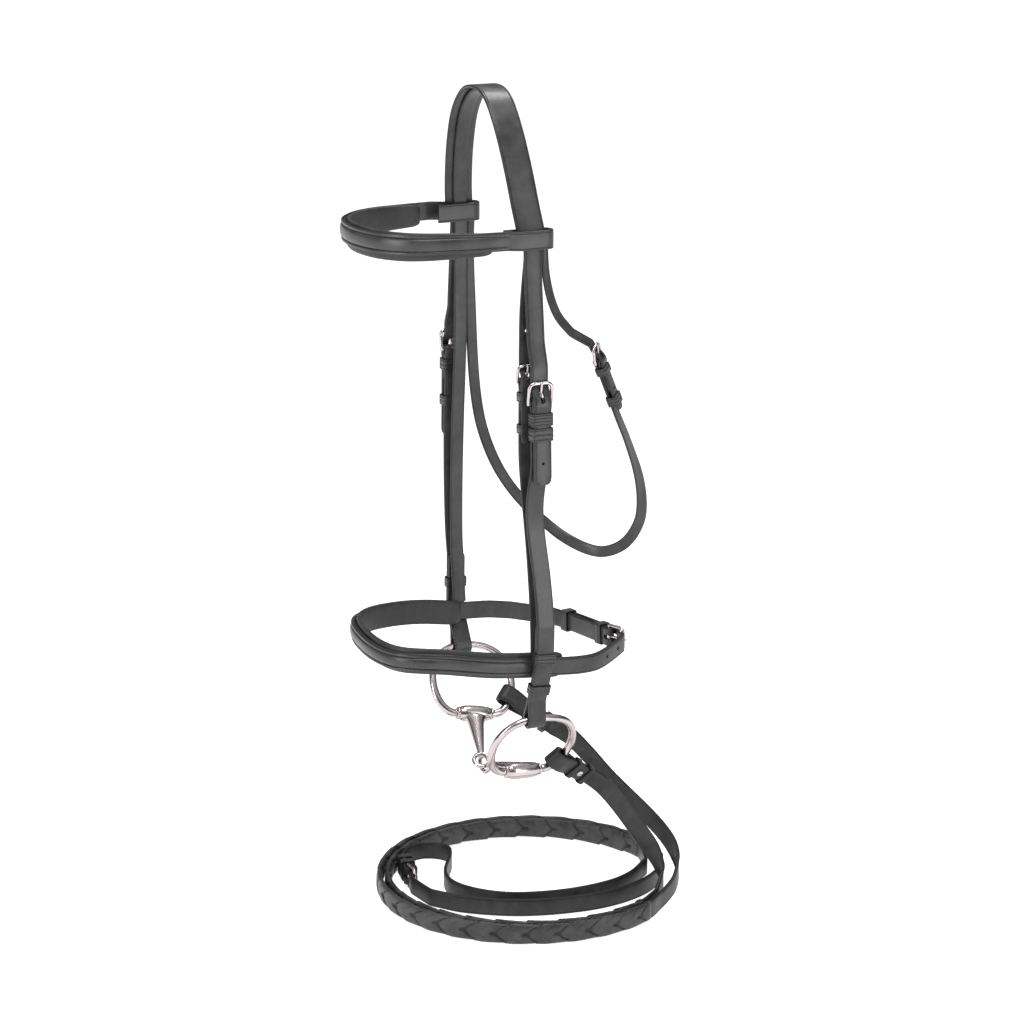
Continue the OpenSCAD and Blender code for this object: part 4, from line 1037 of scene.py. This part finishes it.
def bit_side(side, ring, eye_turn):
    """A ring with its straight side, and the mouthpiece half that turns on it."""
    origin, normal, along = ring[0], ring_dir(ring, (0, 1)), ring_dir(ring, (1, 0))
    plane = unit(np.cross(along, normal))
    run = Run([origin + ring_dir(ring, q) for q in smooth(ring_outline, 3)], plane, 0.9, 1.2)
    depth = -((run.p - origin) @ unit(normal))
    radius = 3.12 + 0.5 * smoothstep(depth, 12, 52)
    solid = Solid()
    wire(solid, run, radius * 0.98, radius, 28)
    mid = origin + ring_dir(ring, (0, -RING_DROP))
    f = np.array([mid - along * 20, normal, np.cross(along, normal), along])
    lathe(solid, f, [(2.4, -1.6), (3.1, -1.0), (PIN_R, 0), (PIN_R, 40), (3.1, 41), (2.4, 41.6)], 40)
    piece(side + "_ring", solid, STEEL, side + "_ring", "steel")

    barrel = make_frame(mid, along, normal)
    half = BARREL_LEN / 2
    arm = MIDDLE_JOINT - mid
    reach, go = np.linalg.norm(arm) - 3.5, unit(arm)
    solid = Solid()
    # Each row is how far the radius is from the barrel's, and the place along it: the front end's
    # collar and shoulder, the middle, and the back end's shoulder and collar.
    front = [(-2.6, 0), (-1.9, 0.3), (-1.6, 1.2), (-1.75, 2.0), (-2.0, 2.4), (-1.6, 3.0), (-0.9, 4.2),
             (-0.35, 6.2), (-0.05, 8.6)]
    middle = [(0.02, -5), (0, 0), (-0.12, 4), (-0.5, 8)]
    back = [(-1.15, 4.4), (-1.9, 2.7), (-2.35, 2.1), (-2.1, 1.7), (-2.0, 0.9), (-2.4, 0.2), (-3.0, 0)]
    bore = PIN_R + 0.08
    profile = ([(bore, -half)] + [(BARREL_R + r, z - half) for r, z in front]
               + [(BARREL_R + r, z) for r, z in middle] + [(BARREL_R + r, half - z) for r, z in back]
               + [(bore, half)])
    inside = [(bore, half - 1), (bore, 0), (bore, 1 - half)]
    lathe(solid, barrel, profile + inside, 64, closed=True)
    # The arm: oval where it flares out of the barrel, then round and tapered to the eye. Each row
    # is the distance from the barrel's axis, half the width and half the thickness.
    arm_rows = [(3.6, 10.6, 5.2), (4.6, 10.4, 5.9), (5.6, 10.1, 6.3), (6.6, 9.7, 6.5), (7.6, 9.2, 6.6),
                (8.8, 8.6, 6.6), (10.4, 7.9, 6.5), (12.5, 7.3, 6.35), (15, 6.85, 6.15), (19, 6.35, 5.8),
                (24, 5.75, 5.3), (30, 5.0, 4.65), (36, 4.2, 3.95), (41, 3.6, 3.4), (45, 3.2, 3.05),
                (reach - 7.4, 3.0, 2.9), (reach - 6.2, 2.9, 2.8), (reach - 5.4, 2.4, 2.2)]
    d, wide, thick = np.array(arm_rows).T
    wide_axis = unit(barrel[3] - go * (barrel[3] @ go))
    arm_run = Run(np.array([mid + go * q for q in (d[0], d[-1])]), wide_axis, 0.8, 0)
    here = arm_run.arc + d[0]
    wire(solid, arm_run, np.interp(here, d, thick), np.interp(here, d, wide), 40)
    eye = make_frame(mid, arm, AFT)
    turn = math.radians(eye_turn)
    # The eye lies in the plane of the arm and a direction turned about it
    flat = -math.sin(turn) * eye[1] + math.cos(turn) * eye[2]
    centre = mid + go * reach
    a = np.linspace(0, 2 * math.pi, 65)[:-1]
    spokes = np.cos(a)[:, None] * go + np.sin(a)[:, None] * flat
    axis = unit(np.cross(go, flat))
    c, s = circle(24)
    minor = (1.88 + 0.35 * smoothstep(-np.cos(a), 0.55, 1))[:, None, None]
    rings = centre + 7 * spokes[:, None] + minor * (c[None, :, None] * spokes[:, None]
                                                    + s[None, :, None] * axis)
    solid.grid(rings, closed=True)
    piece(side + "_cannon", solid, STEEL, side + "_mouthpiece", "steel", sharp=50)


bit_side("near", NEAR_RING, 90)
bit_side("far", FAR_RING, 10)


def rein_loop(side_name, f, side):
    """A rein's end round its ring, with its two keepers and its stud."""
    x = layer(REIN_BUCKLE) / 2
    points = ([(x, REIN_START + 0.4), (x, 38), (x, 30), (x, 22), (x, 18)] + loop_turn(REIN_T, 3.6)
              + [(-x, 18), (-x, 22), (-x, 30), (-x, REIN_START - 4)])
    run = Run(path_in(f, [(side * px, pz) for px, pz in points]), f[2], 1.2, 1.0)
    body, stud_at = side_name + "_ring", in_frame(f, [0, 0, REIN_STUD_AT])
    piece(side_name + "_rein_loop", strap(run, tipped(run, CHEEK_W, 0, 5, 0.8), REIN_T), REIN, body,
          cutters=[peg(Solid(), stud_at, -side * f[1], 2.0, 0, 8)])
    bands = Solid()
    for z in REIN_KEEPERS_AT:
        keeper_band(bands, f, CHEEK_W, z, 6, -REIN_T - FIT_GAP, REIN_T + FIT_GAP, 2)
    piece(side_name + "_rein_loop_keepers", bands, REIN, body)
    stud(side_name + "_rein_stud", np.array([stud_at, side * f[1], side * f[2], f[3]]), REIN_T, body)


rein_loop("near", NEAR_REIN_AT, 1)
rein_loop("far", FAR_REIN_AT, -1)

# ---------------------------------------------------------------- stitches on the folds
fold_thread = Solid()
for f, b, front in ((NEAR_CHEEK_AT, CHEEK_BUCKLE, 26), (FAR_CHEEK_AT, CHEEK_BUCKLE, 26),
                    (HEADSTRAP_AT, HEAD_BUCKLE, 24), (THROAT_AT, THROAT_BUCKLE, 22),
                    (CHIN_AT, CHEEK_BUCKLE, 26)):
    back = Run(path_in(f, [(0, 6), (0, -60)]), f[2], 1.0, 0)
    out = -b[1] / 2 if float(back.n[0] @ f[1]) > 0 else b[1] / 2
    for side in (-1, 1):
        stitch_row(fold_thread, back, 8, 6 + front - 2, side * (b[0] / 2 - 2.6), 0.86 * out, 3.4)
place(fold_thread.mesh("fold_stitches"), THREAD, "strapwork", "bridle_leather")

# ---------------------------------------------------------------- studio
FLOOR_Z_M = -0.7127
bpy.ops.mesh.primitive_plane_add(size=60, location=(0, 0, FLOOR_Z_M))
floor = bpy.context.object
floor.name = "studio_floor"
floor_material, _, floor_body = shader("studio_floor", 0.9, base=(0.6, 0.6, 0.6))
floor_body.inputs["Emission Color"].default_value = (1, 1, 1, 1)
floor_body.inputs["Emission Strength"].default_value = 0.84
floor.data.materials.append(floor_material)

# A sky that is bright at the horizon and overhead and dark between, so that leather has shape
# and polished metal has dark lines
world = bpy.data.worlds.new("studio")
bpy.context.scene.world = world
world.use_nodes = True
tree = world.node_tree
tree.nodes.clear()
world_out = tree.nodes.new("ShaderNodeOutputWorld")
background = tree.nodes.new("ShaderNodeBackground")
tree.links.new(background.outputs[0], world_out.inputs[0])
around = tree.nodes.new("ShaderNodeTexCoord").outputs["Generated"]
height = tree.nodes.new("ShaderNodeSeparateXYZ")
tree.links.new(around, height.inputs[0])
shade = tree.nodes.new("ShaderNodeValToRGB")
stops = shade.color_ramp.elements
stops[0].position, stops[0].color = 0.0, (0.75, 0.75, 0.75, 1)
stops[1].position, stops[1].color = 0.10, (0.22, 0.22, 0.225, 1)
for position, value in ((0.38, 0.12), (0.55, 0.62), (0.8, 0.95)):
    stop = stops.new(position)
    stop.color = (value, value, value, 1)
tree.links.new(height.outputs[2], shade.inputs[0])
tree.links.new(shade.outputs[0], background.inputs["Color"])
background.inputs["Strength"].default_value = 0.8


def area_light(name, location_m, size_m, power, aim_m=AIM_M):
    data = bpy.data.lights.new(name, "AREA")
    data.shape, data.size, data.size_y, data.energy = "RECTANGLE", size_m[0], size_m[1], power
    light = bpy.data.objects.new(name, data)
    light.location = location_m
    light.rotation_euler = (Vector(location_m) - aim_m).to_track_quat("Z", "Y").to_euler()
    bpy.context.scene.collection.objects.link(light)


area_light("top_softbox", (0.55, -0.25, 1.3), (1.0, 0.7), 22)
area_light("front_softbox", (0.5, -2.0, 0.25), (0.5, 1.5), 20)
area_light("near_softbox", (1.9, 0.9, 0.1), (0.35, 1.6), 8)
area_light("crown_softbox", (-0.4, 0.5, 1.2), (0.45, 0.45), 10, Vector((0.04, 0, -0.02)))
area_light("low_softbox", (1.1, 0.42, -0.45), (0.16, 0.3), 1.0, Vector((0.08, 0, -0.25)))

bpy.context.scene.view_settings.view_transform = "Standard"
